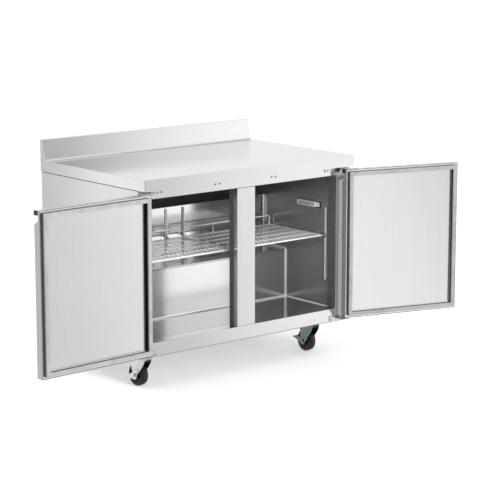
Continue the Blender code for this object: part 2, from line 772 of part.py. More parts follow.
def build_fork(name, crown_low, crown_top, with_brake, swivel):
    """Pressed fork: a crown with a round front, two raked legs and the axle bolt through their ends."""
    half_turn = [math.radians(a) for a in range(90, 271, 20)]
    outline = [(0.035 * math.cos(a), LEG_OUTER * math.sin(a)) for a in half_turn]
    outline += [(CASTER_TRAIL + 0.023, -LEG_OUTER), (CASTER_TRAIL + 0.023, LEG_OUTER)]
    mesh = mesh_from(lambda work: add_prism(work, outline, crown_low, crown_top, 2), name + "_fork")
    fork = add_object(name + "_fork", mesh, ZINC, swivel)

    def kingpin_hole(work):
        add_rod(work, (0, 0, 0.1), (0, 0, 0.2), 0.0055, 12)

    boolean(fork, cutter(name + "_kingpin_hole", kingpin_hole, swivel), "DIFFERENCE")
    side = leg_outline(crown_top)
    reach = LEG_OUTER + (0.0085 if with_brake else 0.005)

    def legs_and_axle(work):
        add_prism(work, side, LEG_INNER, LEG_OUTER, 1)
        add_prism(work, side, -LEG_OUTER, -LEG_INNER, 1)
        add_rod(work, (CASTER_TRAIL, -reach, WHEEL_RADIUS), (CASTER_TRAIL, reach, WHEEL_RADIUS), 0.0048, 12)
        for way in (-1, 1):
            head = (CASTER_TRAIL, way * (reach - 0.005), WHEEL_RADIUS)
            add_rod(work, head, (CASTER_TRAIL, way * reach, WHEEL_RADIUS), 0.008, 6)

    join_on(fork, legs_and_axle)


def build_wheel(name, axle):
    """Wheel with a hub, a dished web and a tread with rounded shoulders."""
    half = WHEEL_WIDTH / 2
    tread = WHEEL_RADIUS - 0.006
    profile = [
        (0.0055, half + 0.002),
        (0.012, half + 0.002),
        (0.014, half - 0.004),
        (0.036, half - 0.002),
        (tread, half),
        (WHEEL_RADIUS, half - 0.006),
    ]
    profile += [(radius, -height) for radius, height in reversed(profile)]
    wheel = turned(name + "_wheel", profile, TYRE, axle, rotation=(math.pi / 2, 0, 0), sides=32)
    smooth(wheel)


def build_brake(name, pressed, swivel):
    """The brake lever rocks on the axle bolt: a wing outside each leg and a foot pad behind the wheel.

    The left one rests pressed down, the right one rests up."""
    axis = empty(name + "_brake_axis", (CASTER_TRAIL, 0.0, WHEEL_RADIUS), swivel)
    axis.rotation_euler = (0.0, BRAKE_TRAVEL if pressed else 0.0, 0.0)
    inner = LEG_OUTER + GAP
    outer = inner + FORK_SHEET
    wing = [(-0.034, 0.014), (-0.032, 0.019), (0.048, 0.0145), (0.066, 0.0095), (0.066, 0.0045)]
    wing += [(0.050, 0.001), (0.014, -0.017), (0.002, -0.021), (-0.008, -0.016)]
    pad = [(0.0545, 0.0125), (0.0545, 0.0095), (0.078, 0.0040), (0.0785, 0.0068)]
    lever = prism(name + "_brake", pad, -outer, outer, 1, ZINC, axis)

    def wings(work):
        add_prism(work, wing, inner, outer, 1)
        add_prism(work, wing, -outer, -inner, 1)

    join_on(lever, wings)

    def bolt_holes(work):
        add_rod(work, (0, -0.04, 0), (0, 0.04, 0), 0.0052, 12)

    cut_away(lever, bolt_holes)


# Assembly -----------------------------------------------------------------------------------------
def stand_on_origin(cabinet):
    """Moves the cabinet's empty so that the object's box is centred over the origin."""
    bpy.context.view_layer.update()
    graph = bpy.context.evaluated_depsgraph_get()
    low = Vector((1e9, 1e9, 1e9))
    high = -low
    for item in PARTS.objects:
        if item.type != "MESH":
            continue
        shown = item.evaluated_get(graph)
        for vertex in shown.data.vertices:
            place = shown.matrix_world @ vertex.co
            low = Vector(map(min, low, place))
            high = Vector(map(max, high, place))
    cabinet.location = (-(low.x + high.x) / 2, -(low.y + high.y) / 2, -low.z)
    bpy.context.view_layer.update()


def main():
    cabinet = empty("cabinet", (0, 0, 0))
    build_worktop(cabinet)
    build_shell(cabinet)
    build_face_frame(cabinet)
    build_liner(cabinet)
    build_evaporator(cabinet)
    build_machine_room(cabinet)
    build_pilasters(cabinet)
    build_shelves(cabinet)
    build_thermometer(cabinet)
    build_door("left_door", -1, LEFT_DOOR_OPEN, cabinet)
    build_door("right_door", 1, RIGHT_DOOR_OPEN, cabinet)
    build_hinges(cabinet)
    for corner, x, y, with_brake in (
        ("front_left", -CASTER_X, CASTER_FRONT_Y, True),
        ("front_right", CASTER_X, CASTER_FRONT_Y, True),
        ("rear_left", -CASTER_X, CASTER_REAR_Y, False),
        ("rear_right", CASTER_X, CASTER_REAR_Y, False),
    ):
        build_caster(corner, x, y, with_brake, cabinet)
    stand_on_origin(cabinet)


main()
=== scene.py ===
"""Looks of the two-door undercounter refrigerator: refined sheet metal, doors, shelves, casters and finishes.

Pieces are modelled in the cabinet's own frame (x = 0 on the centre line, y = 0 at the worktop's front edge,
z = 0 on the floor), in a door's frame (z axis on its hinge) or in a caster's frame (x axis along its trail),
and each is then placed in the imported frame, whose nodes and joints give every place.
"""

import json
import math

import bmesh
import bpy
from mathutils import Matrix, Vector


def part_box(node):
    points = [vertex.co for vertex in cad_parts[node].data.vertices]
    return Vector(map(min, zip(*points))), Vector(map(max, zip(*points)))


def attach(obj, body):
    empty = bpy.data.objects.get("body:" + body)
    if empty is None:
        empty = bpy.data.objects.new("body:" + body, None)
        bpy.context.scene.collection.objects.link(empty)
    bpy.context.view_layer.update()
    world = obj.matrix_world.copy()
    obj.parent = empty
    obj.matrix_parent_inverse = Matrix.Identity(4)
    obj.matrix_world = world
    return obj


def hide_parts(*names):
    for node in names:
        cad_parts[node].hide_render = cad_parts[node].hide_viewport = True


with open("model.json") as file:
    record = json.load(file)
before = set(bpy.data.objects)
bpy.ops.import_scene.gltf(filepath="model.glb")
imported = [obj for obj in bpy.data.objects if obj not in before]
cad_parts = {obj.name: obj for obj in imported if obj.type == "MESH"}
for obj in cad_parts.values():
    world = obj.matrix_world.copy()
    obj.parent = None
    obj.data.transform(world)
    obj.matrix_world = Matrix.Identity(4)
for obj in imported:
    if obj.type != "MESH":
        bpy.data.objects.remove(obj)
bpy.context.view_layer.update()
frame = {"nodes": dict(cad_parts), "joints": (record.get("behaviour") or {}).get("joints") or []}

NODES = frame["nodes"]
JOINTS = {joint["name"]: joint for joint in frame["joints"]}
TOP_LOW, TOP_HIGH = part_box("worktop")
ORIGIN = Vector(((TOP_LOW.x + TOP_HIGH.x) / 2, TOP_LOW.y, 0.0))
CABINET = Matrix.Translation(ORIGIN)

SHEET = 0.0012
TOP_HALF = (TOP_HIGH.x - TOP_LOW.x) / 2
TOP_DEPTH = TOP_HIGH.y - TOP_LOW.y
SPLASH_RISE = 0.096
SPLASH_TOP = 0.025
SPLASH_FOOT = 0.048
TOP_HEIGHT = TOP_HIGH.z - SPLASH_RISE
APRON_LOW = TOP_LOW.z


def local_box(node):
    """A node's lowest and highest corners in the cabinet's frame."""
    low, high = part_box(node)
    return low - ORIGIN, high - ORIGIN


BODY_LOW, BODY_HIGH = local_box("left_side_panel")
BODY_HALF = -BODY_LOW.x
FACE_Y = BODY_LOW.y
BODY_BACK = BODY_HIGH.y
RIGHT_WALL_X = local_box("liner_right_wall")[0].x
STEP_Y = local_box("compressor_step")[0].y
STEP_Z = local_box("compressor_step")[1].z
FLOOR_Z = local_box("liner_floor")[1].z
CEILING_Z = local_box("liner_ceiling")[0].z
COVER_Y = local_box("evaporator_cover")[0].y
REAR_WALL_Y = local_box("liner_back_wall")[0].y
LINER_FRONT_Y = local_box("liner_floor")[0].y
DOOR_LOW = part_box("left_door_skin")[0].z
DOOR_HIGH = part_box("left_door_skin")[1].z
SHELF_LOW, SHELF_HIGH = local_box("right_shelf")


# Materials ------------------------------------------------------------------------------------------
class Nodes:
    """A node tree, with short ways to add nodes and join them."""

    def __init__(self, owner):
        owner.use_nodes = True
        self.tree = owner.node_tree

    def node(self, kind, **settings):
        made = self.tree.nodes.new(kind)
        for key, value in settings.items():
            setattr(made, key, value)
        return made

    def link(self, source, target):
        self.tree.links.new(source, target)

    def math(self, operation, first, second):
        """Joins two values, each a socket or a number."""
        made = self.node("ShaderNodeMath", operation=operation)
        for socket, value in zip(made.inputs, (first, second)):
            if isinstance(value, (int, float)):
                socket.default_value = value
            else:
                self.link(value, socket)
        return made.outputs["Value"]

    def dot(self, source, direction):
        made = self.node("ShaderNodeVectorMath", operation="DOT_PRODUCT")
        self.link(source, made.inputs[0])
        made.inputs[1].default_value = direction
        return made.outputs["Value"]

    def spread(self, source, low, high, start=0.3, end=0.7):
        made = self.node("ShaderNodeMapRange")
        for key, value in zip(("From Min", "From Max", "To Min", "To Max"), (start, end, low, high)):
            made.inputs[key].default_value = value
        self.link(source, made.inputs["Value"])
        return made.outputs["Result"]

    def ramp(self, source, stops, interpolation="LINEAR"):
        """Colours a value by stops, each (position, colour)."""
        made = self.node("ShaderNodeValToRGB")
        made.color_ramp.interpolation = interpolation
        steps = made.color_ramp.elements
        while len(steps) < len(stops):
            steps.new(1.0)
        for step, (position, colour) in zip(steps, stops):
            step.position = position
            step.color = (*colour, 1.0)
        self.link(source, made.inputs["Fac"])
        return made.outputs["Color"]


class Finish(Nodes):
    """A Principled material, with helpers to build what feeds its sockets."""

    def __init__(self, name, metallic, roughness, specular=0.5):
        self.material = bpy.data.materials.new(name)
        super().__init__(self.material)
        self.shader = self.tree.nodes["Principled BSDF"]
        self.shader.inputs["Metallic"].default_value = metallic
        self.shader.inputs["Roughness"].default_value = roughness
        self.shader.inputs["Specular IOR Level"].default_value = specular
        self.coords = self.node("ShaderNodeTexCoord").outputs["Object"]
        self.relief = None

    def texture(self, kind, stretch, **settings):
        mapping = self.node("ShaderNodeMapping")
        mapping.inputs["Scale"].default_value = stretch
        self.link(self.coords, mapping.inputs["Vector"])
        made = self.node(kind)
        for key, value in settings.items():
            made.inputs[key].default_value = value
        self.link(mapping.outputs["Vector"], made.inputs["Vector"])
        return made

    def noise(self, stretch, detail=3.0, rough=0.55):
        return self.texture("ShaderNodeTexNoise", stretch, Scale=1.0, Detail=detail, Roughness=rough).outputs["Fac"]

    def mixed(self, amount, first, second):
        made = self.node("ShaderNodeMix", data_type="RGBA")
        for key, source in (("Factor", amount), ("A", first), ("B", second)):
            self.link(source, made.inputs[key])
        return made.outputs["Result"]

    def base(self, source):
        self.link(source, self.shader.inputs["Base Color"])

    def rough(self, source):
        self.link(source, self.shader.inputs["Roughness"])

    def bump(self, source, strength, distance):
        made = self.node("ShaderNodeBump")
        made.inputs["Strength"].default_value = strength
        made.inputs["Distance"].default_value = distance
        self.link(source, made.inputs["Height"])
        if self.relief:
            self.link(self.relief, made.inputs["Normal"])
        self.relief = made.outputs["Normal"]
        self.link(self.relief, self.shader.inputs["Normal"])


def stretched(along, fine, coarse):
    """Texture scales that draw a grain out along one axis."""
    return tuple(coarse if axis == along else fine for axis in "xyz")


def brushed(name, along, tone, roughness, grain=1.0, metallic=1.0):
    """Brushed stainless sheet: fine grain, longer scratches, faint smears left by wiping."""
    made = Finish(name, metallic, roughness)
    fine = made.noise(stretched(along, 1500.0, 9.0), 2.0)
    streak = made.noise(stretched(along, 260.0, 1.6), 4.0, 0.7)
    smear = made.noise((2.3, 2.3, 2.3))
    dark = [0.955 * part for part in tone]
    light = [min(1.0, 1.03 * part) for part in tone]
    marks = made.ramp(streak, ((0.32, dark), (0.68, light)))
    clouds = made.ramp(smear, ((0.25, dark), (0.75, light)))
    made.base(made.mixed(made.spread(fine, 0.35, 0.65), marks, clouds))
    worn = made.spread(smear, roughness - 0.035, roughness + 0.03)
    made.rough(made.math("ADD", worn, made.spread(fine, -0.02, 0.03)))
    made.bump(streak, 0.05 * grain, 0.0002)
    made.bump(fine, 0.05 * grain, 0.00006)
    return made.material


def galvanised(name):
    """Hot-dip zinc: spangle crystals of slightly different tone and gloss."""
    made = Finish(name, 1.0, 0.42)
    crystals = made.texture("ShaderNodeTexVoronoi", (75.0, 75.0, 75.0), Scale=1.0)
    cloud = made.noise((5.0, 5.0, 5.0), 4.0)
    spangle = made.ramp(crystals.outputs["Color"], ((0.15, (0.42, 0.43, 0.44)), (0.85, (0.62, 0.63, 0.64))))
    worn = made.ramp(cloud, ((0.3, (0.50, 0.51, 0.52)), (0.7, (0.57, 0.58, 0.59))))
    made.base(made.mixed(made.spread(cloud, 0.25, 0.6), spangle, worn))
    made.rough(made.spread(crystals.outputs["Distance"], 0.34, 0.52, 0.0, 0.7))
    made.bump(crystals.outputs["Distance"], 0.06, 0.0002)
    return made.material


def zinc(name, tone, roughness, metallic=1.0):
    """Bright electroplated zinc with a faint cool bloom and small handling marks."""
    made = Finish(name, metallic, roughness)
    bloom = made.noise((60.0, 60.0, 60.0), 4.0)
    marks = made.noise((900.0, 900.0, 240.0), 3.0, 0.7)
    cool = [part * shift for part, shift in zip(tone, (0.86, 0.89, 0.88))]
    made.base(made.ramp(bloom, ((0.35, cool), (0.65, tone))))
    dulled = made.spread(bloom, roughness - 0.04, roughness + 0.06)
    made.rough(made.math("ADD", dulled, made.spread(marks, -0.03, 0.04)))
    made.bump(marks, 0.08, 0.0001)
    return made.material


def coat(name, roughness, shifts, tones, patch, skin, specular=0.5, metallic=0.0):
    """A finish that drifts between two tones in patches, under a fine skin of relief.

    Shifts are added to the roughness in the first and the second tone. Tones are two (position, colour) stops,
    patch is the (scale, detail, roughness) of the drift, and skin is the relief's (scale, strength, distance).
    """
    made = Finish(name, metallic, roughness, specular)
    scale, detail, rough = patch
    drift = made.noise((scale, scale, scale), detail, rough)
    made.base(made.ramp(drift, tones))
    made.rough(made.spread(drift, roughness + shifts[0], roughness + shifts[1]))
    scale, strength, distance = skin
    made.bump(made.noise((scale, scale, scale), 2.0), strength, distance)
    return made.material


def vinyl(name, dark, light, roughness, specular=0.4):
    """Soft extruded gasket vinyl: fine pores and dulled, slightly soiled patches."""
    tones = ((0.3, dark), (0.62, light))
    return coat(name, roughness, (0.08, -0.06), tones, (14.0, 5.0, 0.65), (2400.0, 0.12, 0.00015), specular)


def plastic(name, dark, light, roughness, pore=1400.0):
    """Moulded plastic: spark-eroded texture, handled patches that are glossier."""
    tones = ((0.35, dark), (0.7, light))
    return coat(name, roughness, (-0.06, 0.08), tones, (30.0, 4.0, 0.55), (pore, 0.15, 0.00012))


def tyre_rubber(name):
    """Hard polyurethane tread: satin black with pale scuffs from the floor."""
    tones = ((0.5, (0.004, 0.004, 0.005)), (0.8, (0.020, 0.021, 0.022)))
    return coat(name, 0.28, (-0.08, 0.14), tones, (160.0, 5.0, 0.7), (1800.0, 0.1, 0.0001), 0.35)


def coated_wire(name):
    """Bright coated shelf wire with a slightly uneven dipped skin."""
    tones = ((0.3, (0.89, 0.91, 0.94)), (0.7, (0.96, 0.97, 0.98)))
    return coat(name, 0.2, (-0.06, 0.08), tones, (90.0, 3.0, 0.55), (700.0, 0.06, 0.0002), 0.6, 0.15)


def fin_stock(name):
    """Thin aluminium fins, dulled and dusty between one another."""
    tones = ((0.3, (0.42, 0.42, 0.42)), (0.65, (0.70, 0.71, 0.72)))
    return coat(name, 0.4, (0.15, -0.10), tones, (40.0, 5.0, 0.55), (500.0, 0.1, 0.0002), 0.5, 0.9)


def enamel(name):
    """Stoved black enamel with orange peel."""
    tones = ((0.4, (0.010, 0.010, 0.011)), (0.75, (0.045, 0.044, 0.042)))
    return coat(name, 0.25, (-0.05, 0.25), tones, (18.0, 5.0, 0.55), (220.0, 0.12, 0.0005))


STEEL = (0.66, 0.66, 0.655)
LINER = (0.55, 0.55, 0.55)
FINISHES = {
    "stainless_brushed": {
        "steel_x": brushed("brushed_steel_long", "x", STEEL, 0.13),
        "steel_z": brushed("brushed_steel_upright", "z", STEEL, 0.19),
        "door_steel": brushed("brushed_steel_door", "x", (0.59, 0.59, 0.585), 0.19),
    },
    "stainless_liner": {
        "liner_z": brushed("liner_steel_upright", "z", LINER, 0.23, 0.25, 0.9),
        "liner_y": brushed("liner_steel_floor", "y", (0.53, 0.53, 0.53), 0.11, 0.2),
        # Painted light: the evaporator cover gets a brighter copy of the liner steel (0.80 against 0.55).
        "cover": brushed("liner_steel_cover_painted_light", "z", (0.80, 0.80, 0.80), 0.13, 0.12),
        "liner_x": brushed("liner_steel_long", "x", LINER, 0.20, 0.25, 0.9),
        # Painted light: the compressor step gets a brighter copy of the liner steel (0.84 against 0.55).
        "step": brushed("liner_steel_step_painted_light", "z", (0.84, 0.84, 0.84), 0.18, 0.12, 0.92),
        # Painted highlight: a near-white, part-diffuse copy of the liner steel, so that the folds read as bright
        # lines.
        "fold": brushed("liner_steel_painted_highlight", "z", (0.96, 0.96, 0.96), 0.17, 0.1, 0.55),
        "door_liner": brushed("liner_steel_door", "z", (0.70, 0.70, 0.70), 0.20, 0.6),
    },
    "galvanised_steel": {"galvanised": galvanised("galvanised_spangle")},
    "zinc_plate": {
        "zinc": zinc("bright_zinc", (0.70, 0.725, 0.715), 0.14),
        # Painted reflection and shade: a darker, greener copy of the bright zinc, worn by the front right caster only.
        "green_zinc": zinc("green_zinc", (0.20, 0.275, 0.25), 0.15),
        "strip": zinc("pilaster_zinc", (0.93, 0.935, 0.935), 0.32, 0.1),
        "bracket": brushed("bracket_steel", "x", (0.60, 0.60, 0.60), 0.17, 0.6),
        "fastener": zinc("fastener_zinc", (0.10, 0.10, 0.103), 0.3),
    },
    "door_gasket": {
        "gasket": vinyl("gasket_vinyl", (0.27, 0.273, 0.27), (0.35, 0.353, 0.35), 0.5),
        # Painted shade: the gasket's outer and inner flanks take darker copies of its vinyl, the inner one near black.
        "gasket_outer_painted_shade": vinyl("gasket_vinyl_outer_shade", (0.085, 0.087, 0.087), (0.12, 0.122, 0.12), 0.55),
        "gasket_inner_painted_shade": vinyl("gasket_vinyl_inner_shade", (0.006, 0.006, 0.007), (0.012, 0.012, 0.013), 0.6, 0.15),
    },
    "grey_plastic": {
        "grey": plastic("moulded_grey", (0.66, 0.665, 0.66), (0.74, 0.745, 0.74), 0.4),
        "breaker": plastic("extruded_breaker", (0.085, 0.087, 0.087), (0.12, 0.122, 0.12), 0.42),
        "lens": plastic("display_lens", (0.34, 0.35, 0.36), (0.42, 0.43, 0.44), 0.12, 900.0),
    },
    "black_plastic": {"black": plastic("moulded_black", (0.010, 0.010, 0.011), (0.022, 0.022, 0.023), 0.38)},
    "caster_tyre": {"tyre": tyre_rubber("tread_polyurethane")},
    "shelf_wire": {"wire": coated_wire("shelf_wire_coat")},
    "coil_fins": {"fins": fin_stock("fin_aluminium")},
    "black_enamel": {"enamel": enamel("stoved_enamel")},
}
MATERIALS = {finish: (material, slot) for slot, group in FINISHES.items() for finish, material in group.items()}


# Mesh building --------------------------------------------------------------------------------------
def place_piece(piece, finishes, body, place, replaces):
    bpy.context.scene.collection.objects.link(piece)
    piece.matrix_world = place
    for finish in finishes:
        piece.data.materials.append(MATERIALS[finish][0])
    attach(piece, body)
    if replaces:
        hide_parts(*replaces)
    return piece


def make(name, build, finish, body="cabinet", place=CABINET, rounding=0.0, replaces=(), segments=3, angle=35,
         gauge=0.0):
    """A mesh piece from a bmesh builder. Its edges are rounded and a skin gets its gauge where widths are given."""
    mesh = bpy.data.meshes.new(name)
    work = bmesh.new()
    build(work)
    bmesh.ops.recalc_face_normals(work, faces=work.faces)
    work.to_mesh(mesh)
    work.free()
    mesh.shade_smooth()
    piece = bpy.data.objects.new(name, mesh)
    if rounding:
        bevel = piece.modifiers.new("rounding", "BEVEL")
        bevel.width = rounding
        bevel.segments = segments
        bevel.limit_method = "ANGLE"
        bevel.angle_limit = math.radians(28)
        if gauge:
            thick = piece.modifiers.new("gauge", "SOLIDIFY")
            thick.thickness = gauge
            thick.offset = -1.0
        even = piece.modifiers.new("even_shading", "WEIGHTED_NORMAL")
        even.weight = 90
        even.keep_sharp = True
    else:
        mesh.set_sharp_from_angle(angle=math.radians(angle))
    finishes = (finish,) if isinstance(finish, str) else finish
    return place_piece(piece, finishes, body, place, replaces)


def boxes(name, spans, finish, **settings):
    """A piece of boxes, each given by its lowest and highest corners."""
    def build(work):
        for low, high in spans:
            add_box(work, low, high)

    return make(name, build, finish, **settings)


def prisms(name, shapes, finish, **settings):
    """A piece of prisms, each (outline, start, end, axis)."""
    def build(work):
        for shape in shapes:
            add_prism(work, *shape)

    return make(name, build, finish, **settings)


def add_box(work, low, high):
    low = Vector(low)
    high = Vector(high)
    shape = Matrix.Translation((low + high) / 2) @ Matrix.Diagonal((*(high - low), 1.0))
    bmesh.ops.create_cube(work, size=1.0, matrix=shape)


def facing(centre, normal):
    """The matrix that lays local Z along a normal at a centre."""
    return Matrix.Translation(Vector(centre)) @ Vector(normal).to_track_quat("Z", "Y").to_matrix().to_4x4()


def add_prism(work, outline, start, end, axis, matrix=None):
    """Extrudes an outline along an axis. Its two coordinates are the other axes, in x, y, z order."""
    others = [k for k in range(3) if k != axis]
    corners = []
    for first, second in outline:
        point = Vector((0.0, 0.0, 0.0))
        point[axis] = start
        point[others[0]] = first
        point[others[1]] = second
        corners.append(work.verts.new(point))
    face = work.faces.new(corners)
    grown = bmesh.ops.extrude_face_region(work, geom=[face])
    moved = [part for part in grown["geom"] if isinstance(part, bmesh.types.BMVert)]
    step = Vector((0.0, 0.0, 0.0))
    step[axis] = end - start
    bmesh.ops.translate(work, verts=moved, vec=step)
    if matrix is not None:
        bmesh.ops.transform(work, matrix=matrix, verts=corners + moved)
    return corners + moved


def add_rod(work, start, end, radius, sides=12):
    length = (Vector(end) - Vector(start)).length
    bmesh.ops.create_cone(work, cap_ends=True, segments=sides, radius1=radius, radius2=radius, depth=length,
                          matrix=facing((Vector(start) + Vector(end)) / 2, Vector(end) - Vector(start)))


def add_lathe(work, profile, sides, matrix):
    """Turns a profile of (radius, height) points about local Z. It is closed at radius 0, or into a ring."""
    turns = [math.tau * k / sides for k in range(sides)]
    rings = []
    for radius, height in profile:
        around = turns if radius > 1e-6 else turns[:1]
        rings.append([
            work.verts.new(matrix @ Vector((radius * math.cos(t), radius * math.sin(t), height))) for t in around
        ])
    pairs = list(zip(rings, rings[1:]))
    if len(rings[0]) > 1 and len(rings[-1]) > 1:
        pairs.append((rings[-1], rings[0]))
    for first, second in pairs:
        for k in range(sides):
            n = (k + 1) % sides
            corners = []
            for ring, step in ((first, k), (first, n), (second, n), (second, k)):
                corner = ring[step % len(ring)]
                if corner not in corners:
                    corners.append(corner)
            if len(corners) > 2:
                work.faces.new(corners)


def add_loops(work, loops, close=False):
    """Skins a run of equal loops of points; the first and last are capped, or joined to one another."""
    rings = [[work.verts.new(point) for point in loop] for loop in loops]
    count = len(rings[0])
    pairs = list(zip(rings, rings[1:]))
    if close:
        pairs.append((rings[-1], rings[0]))
    else:
        work.faces.new(rings[0])
        work.faces.new(list(reversed(rings[-1])))
    faces = []
    for first, second in pairs:
        for k in range(count):
            n = (k + 1) % count
            faces.append(work.faces.new((first[k], first[n], second[n], second[k])))
    return faces


def arc(centre, radius, start, end, steps):
    """Points on an arc, by degrees."""
    turns = [math.radians(start + (end - start) * k / steps) for k in range(steps + 1)]
    return [(centre[0] + radius * math.cos(t), centre[1] + radius * math.sin(t)) for t in turns]


def rounded_rectangle(x0, y0, x1, y1, radius, steps=5):
    return (
        arc((x1 - radius, y0 + radius), radius, -90, 0, steps)
        + arc((x1 - radius, y1 - radius), radius, 0, 90, steps)
        + arc((x0 + radius, y1 - radius), radius, 90, 180, steps)
        + arc((x0 + radius, y0 + radius), radius, 180, 270, steps)
    )


def wires(name, paths, finish, replaces):
    """Round wires as one mesh. Each path is (radius, points); the ends are domed."""
    curve = bpy.data.curves.new(name, "CURVE")
    curve.dimensions = "3D"
    curve.bevel_depth = 1.0
    curve.bevel_resolution = 4
    curve.use_fill_caps = True
    for radius, points in paths:
        spline = curve.splines.new("POLY")
        start = Vector(points[0])
        end = Vector(points[-1])
        first = (start - Vector(points[1])).normalized() * radius
        last = (end - Vector(points[-2])).normalized() * radius
        places = [start + first * 0.45, start + first * 0.25, *points, end + last * 0.25, end + last * 0.45]
        shares = [0.45, 0.85, *([1.0] * len(points)), 0.85, 0.45]
        spline.points.add(len(places) - 1)
        for point, place, share in zip(spline.points, places, shares):
            point.co = (*place, 1.0)
            point.radius = radius * share
    source = bpy.data.objects.new(name + "_path", curve)
    bpy.context.scene.collection.objects.link(source)
    mesh = bpy.data.meshes.new_from_object(source.evaluated_get(bpy.context.evaluated_depsgraph_get()))
    bpy.data.objects.remove(source, do_unlink=True)
    mesh.name = name
    work = bmesh.new()
    work.from_mesh(mesh)
    bmesh.ops.remove_doubles(work, verts=work.verts, dist=0.000005)
    bmesh.ops.recalc_face_normals(work, faces=work.faces)
    work.to_mesh(mesh)
    work.free()
    mesh.materials.clear()
    mesh.shade_smooth()
    mesh.set_sharp_from_angle(angle=math.radians(50))
    place_piece(bpy.data.objects.new(name, mesh), (finish,), "cabinet", CABINET, replaces)


def box_pieces(finish, rounding, segments, *nodes):
    """Nodes' boxes with their edges rounded, in place of the nodes."""
    for node in nodes:
        boxes(node + "_sheet", [local_box(node)], finish, rounding=rounding, replaces=(node,), segments=segments)


def refinish(finish, *nodes):
    """Gives CAD nodes their procedural material."""
    for node in nodes:
        mesh = NODES[node].data
        mesh.materials.clear()
        mesh.materials.append(MATERIALS[finish][0])


# Fasteners ------------------------------------------------------------------------------------------
def screw_head(work, centre, normal, radius, height):
    """A pan head with a cross recess, standing on a surface."""
    place = facing(centre, normal)
    under = -0.0004
    dome = [(0.0, height * 0.55), (radius * 0.16, height * 0.55), (radius * 0.18, height)]
    dome += [(radius * math.sin(math.radians(a)), height * math.cos(math.radians(a))) for a in (28, 50, 70, 90)]
    dome += [(radius, under), (0.0, under)]
    add_lathe(work, dome, 20, place)
    for turn in (0.0, 90.0):
        spin = place @ Matrix.Rotation(math.radians(turn), 4, "Z")
        for way in (-1, 1):
            near, far = way * radius * 0.22, way * radius * 0.52
            wing = [(near, under), (far, under), (far, -under), (near, -under)]
            add_prism(work, wing, height * 0.5, height * 0.93, 2, spin)


def hex_nut(work, centre, normal, across, height, bore):
    """A chamfered hexagon nut with its stud end showing."""
    place = facing(centre, normal)
    turns = [math.tau * k / 6 for k in range(6)]
    rings = []
    for share, level in ((1.0, 0.0), (1.0, height * 0.82), (0.9, height)):
        radius = share * across / math.sqrt(3)
        rings.append([place @ Vector((radius * math.cos(t), radius * math.sin(t), level)) for t in turns])
    add_loops(work, rings)
    stud = [(0.0, height + 0.0016), (bore * 0.7, height + 0.0016), (bore, height + 0.0008), (bore, height * 0.9),
            (0.0, height * 0.9)]
    add_lathe(work, stud, 14, place)


def screws(name, places, normal, finish="zinc", radius=0.0042, height=0.0022):
    def build(work):
        for centre in places:
            screw_head(work, centre, normal, radius, height)

    make(name, build, finish, angle=40)


# Worktop --------------------------------------------------------------------------------------------
def worktop():
    """Bent sheet with a rolled front edge, a coved splash and a return flange under the apron; black strips under the
    side overhangs paint the shadow gap.
    """
    cove_radius = 0.014
    foot = TOP_DEPTH - SPLASH_FOOT
    sweep = math.pi / 2 - math.atan2(SPLASH_FOOT - SPLASH_TOP, SPLASH_RISE)
    start = foot - cove_radius * math.tan(sweep / 2)
    turns = [sweep * k / 8 for k in range(9)]
    bend = [(start + cove_radius * math.sin(t), TOP_HEIGHT + cove_radius - cove_radius * math.cos(t)) for t in turns]
    outline = [(0.0, APRON_LOW), (0.0, TOP_HEIGHT), *bend, (TOP_DEPTH - SPLASH_TOP, TOP_HIGH.z),
               (TOP_DEPTH, TOP_HIGH.z), (TOP_DEPTH, APRON_LOW)]
    make("worktop_sheet", lambda work: add_open_prism(work, outline, -TOP_HALF, TOP_HALF, 2, APRON_LOW), "steel_x",
         rounding=0.0028, segments=4, replaces=("worktop",), gauge=SHEET)

    low = APRON_LOW + 0.0002
    high = low + SHEET
    edge = SHEET + 0.0001
    hem = 0.013
    side = TOP_HALF - edge
    flange = [((-side, edge, low), (side, hem, high))]
    shadow_strips = []
    for way in (-1, 1):
        x0, x1 = sorted((way * side, way * (BODY_HALF + 0.0002)))
        flange.append(((x0, hem, low), (x1, TOP_DEPTH - 0.004, high)))
        # Painted shadow: a black strip under each side overhang stands in for the shadow gap between the apron and the
        # side panel.
        x0, x1 = sorted((way * (BODY_HALF - 0.0002), way * (BODY_HALF + 0.0032)))
        shadow_strips.append(((x0, FACE_Y + 0.002, APRON_LOW - 0.0036), (x1, BODY_BACK - 0.006, APRON_LOW - 0.0002)))
    boxes("worktop_return_flange", flange, "steel_x", rounding=0.0004, segments=2)
    boxes("worktop_side_shadow_strips", shadow_strips, "black", rounding=0.0012)


# Cabinet --------------------------------------------------------------------------------------------
def cabinet_body():
    box_pieces("steel_z", 0.0005, 2, "left_side_panel", "right_side_panel")
    box_pieces("steel_z", 0.0022, 3, "left_post", "right_post", "mullion")
    box_pieces("steel_x", 0.0022, 3, "top_rail", "bottom_rail")
    box_pieces("galvanised", 0.0005, 2, "back_panel", "base_pan")
    refinish("galvanised", "rear_grille")
    back = [(x, BODY_BACK, z) for x in (-0.57, -0.19, 0.19, 0.57) for z in (0.428, 0.880)]
    back += [(x, BODY_BACK, z) for x in (-0.585, -0.18, 0.18, 0.585) for z in (0.180, 0.392)]
    screws("rear_panel_screws", back, (0, 1, 0))
    for way, name in ((-1, "left"), (1, "right")):
        spots = [(way * BODY_HALF, 0.772, z) for z in (0.24, 0.52, 0.80)]
        screws(name + "_flange_screws", spots, (way, 0, 0), radius=0.0032, height=0.0014)


def plugs():
    """Plugged spare hinge holes in the top rail."""
    radius = 0.0048
    rise = 0.0012
    dome = [(0.0, rise), (0.0022, 0.0011), (0.0041, rise / 2), (radius, 0.0), (radius, -rise / 2), (0.0, -rise / 2)]

    def build(work):
        for x in (-0.177, -0.153, 0.149, 0.172):
            place = Matrix.Translation((x, FACE_Y, 0.886)) @ Matrix.Rotation(math.pi / 2, 4, "X")
            add_lathe(work, dome, 18, place)

    make("spare_hole_plugs", build, "black", angle=60)


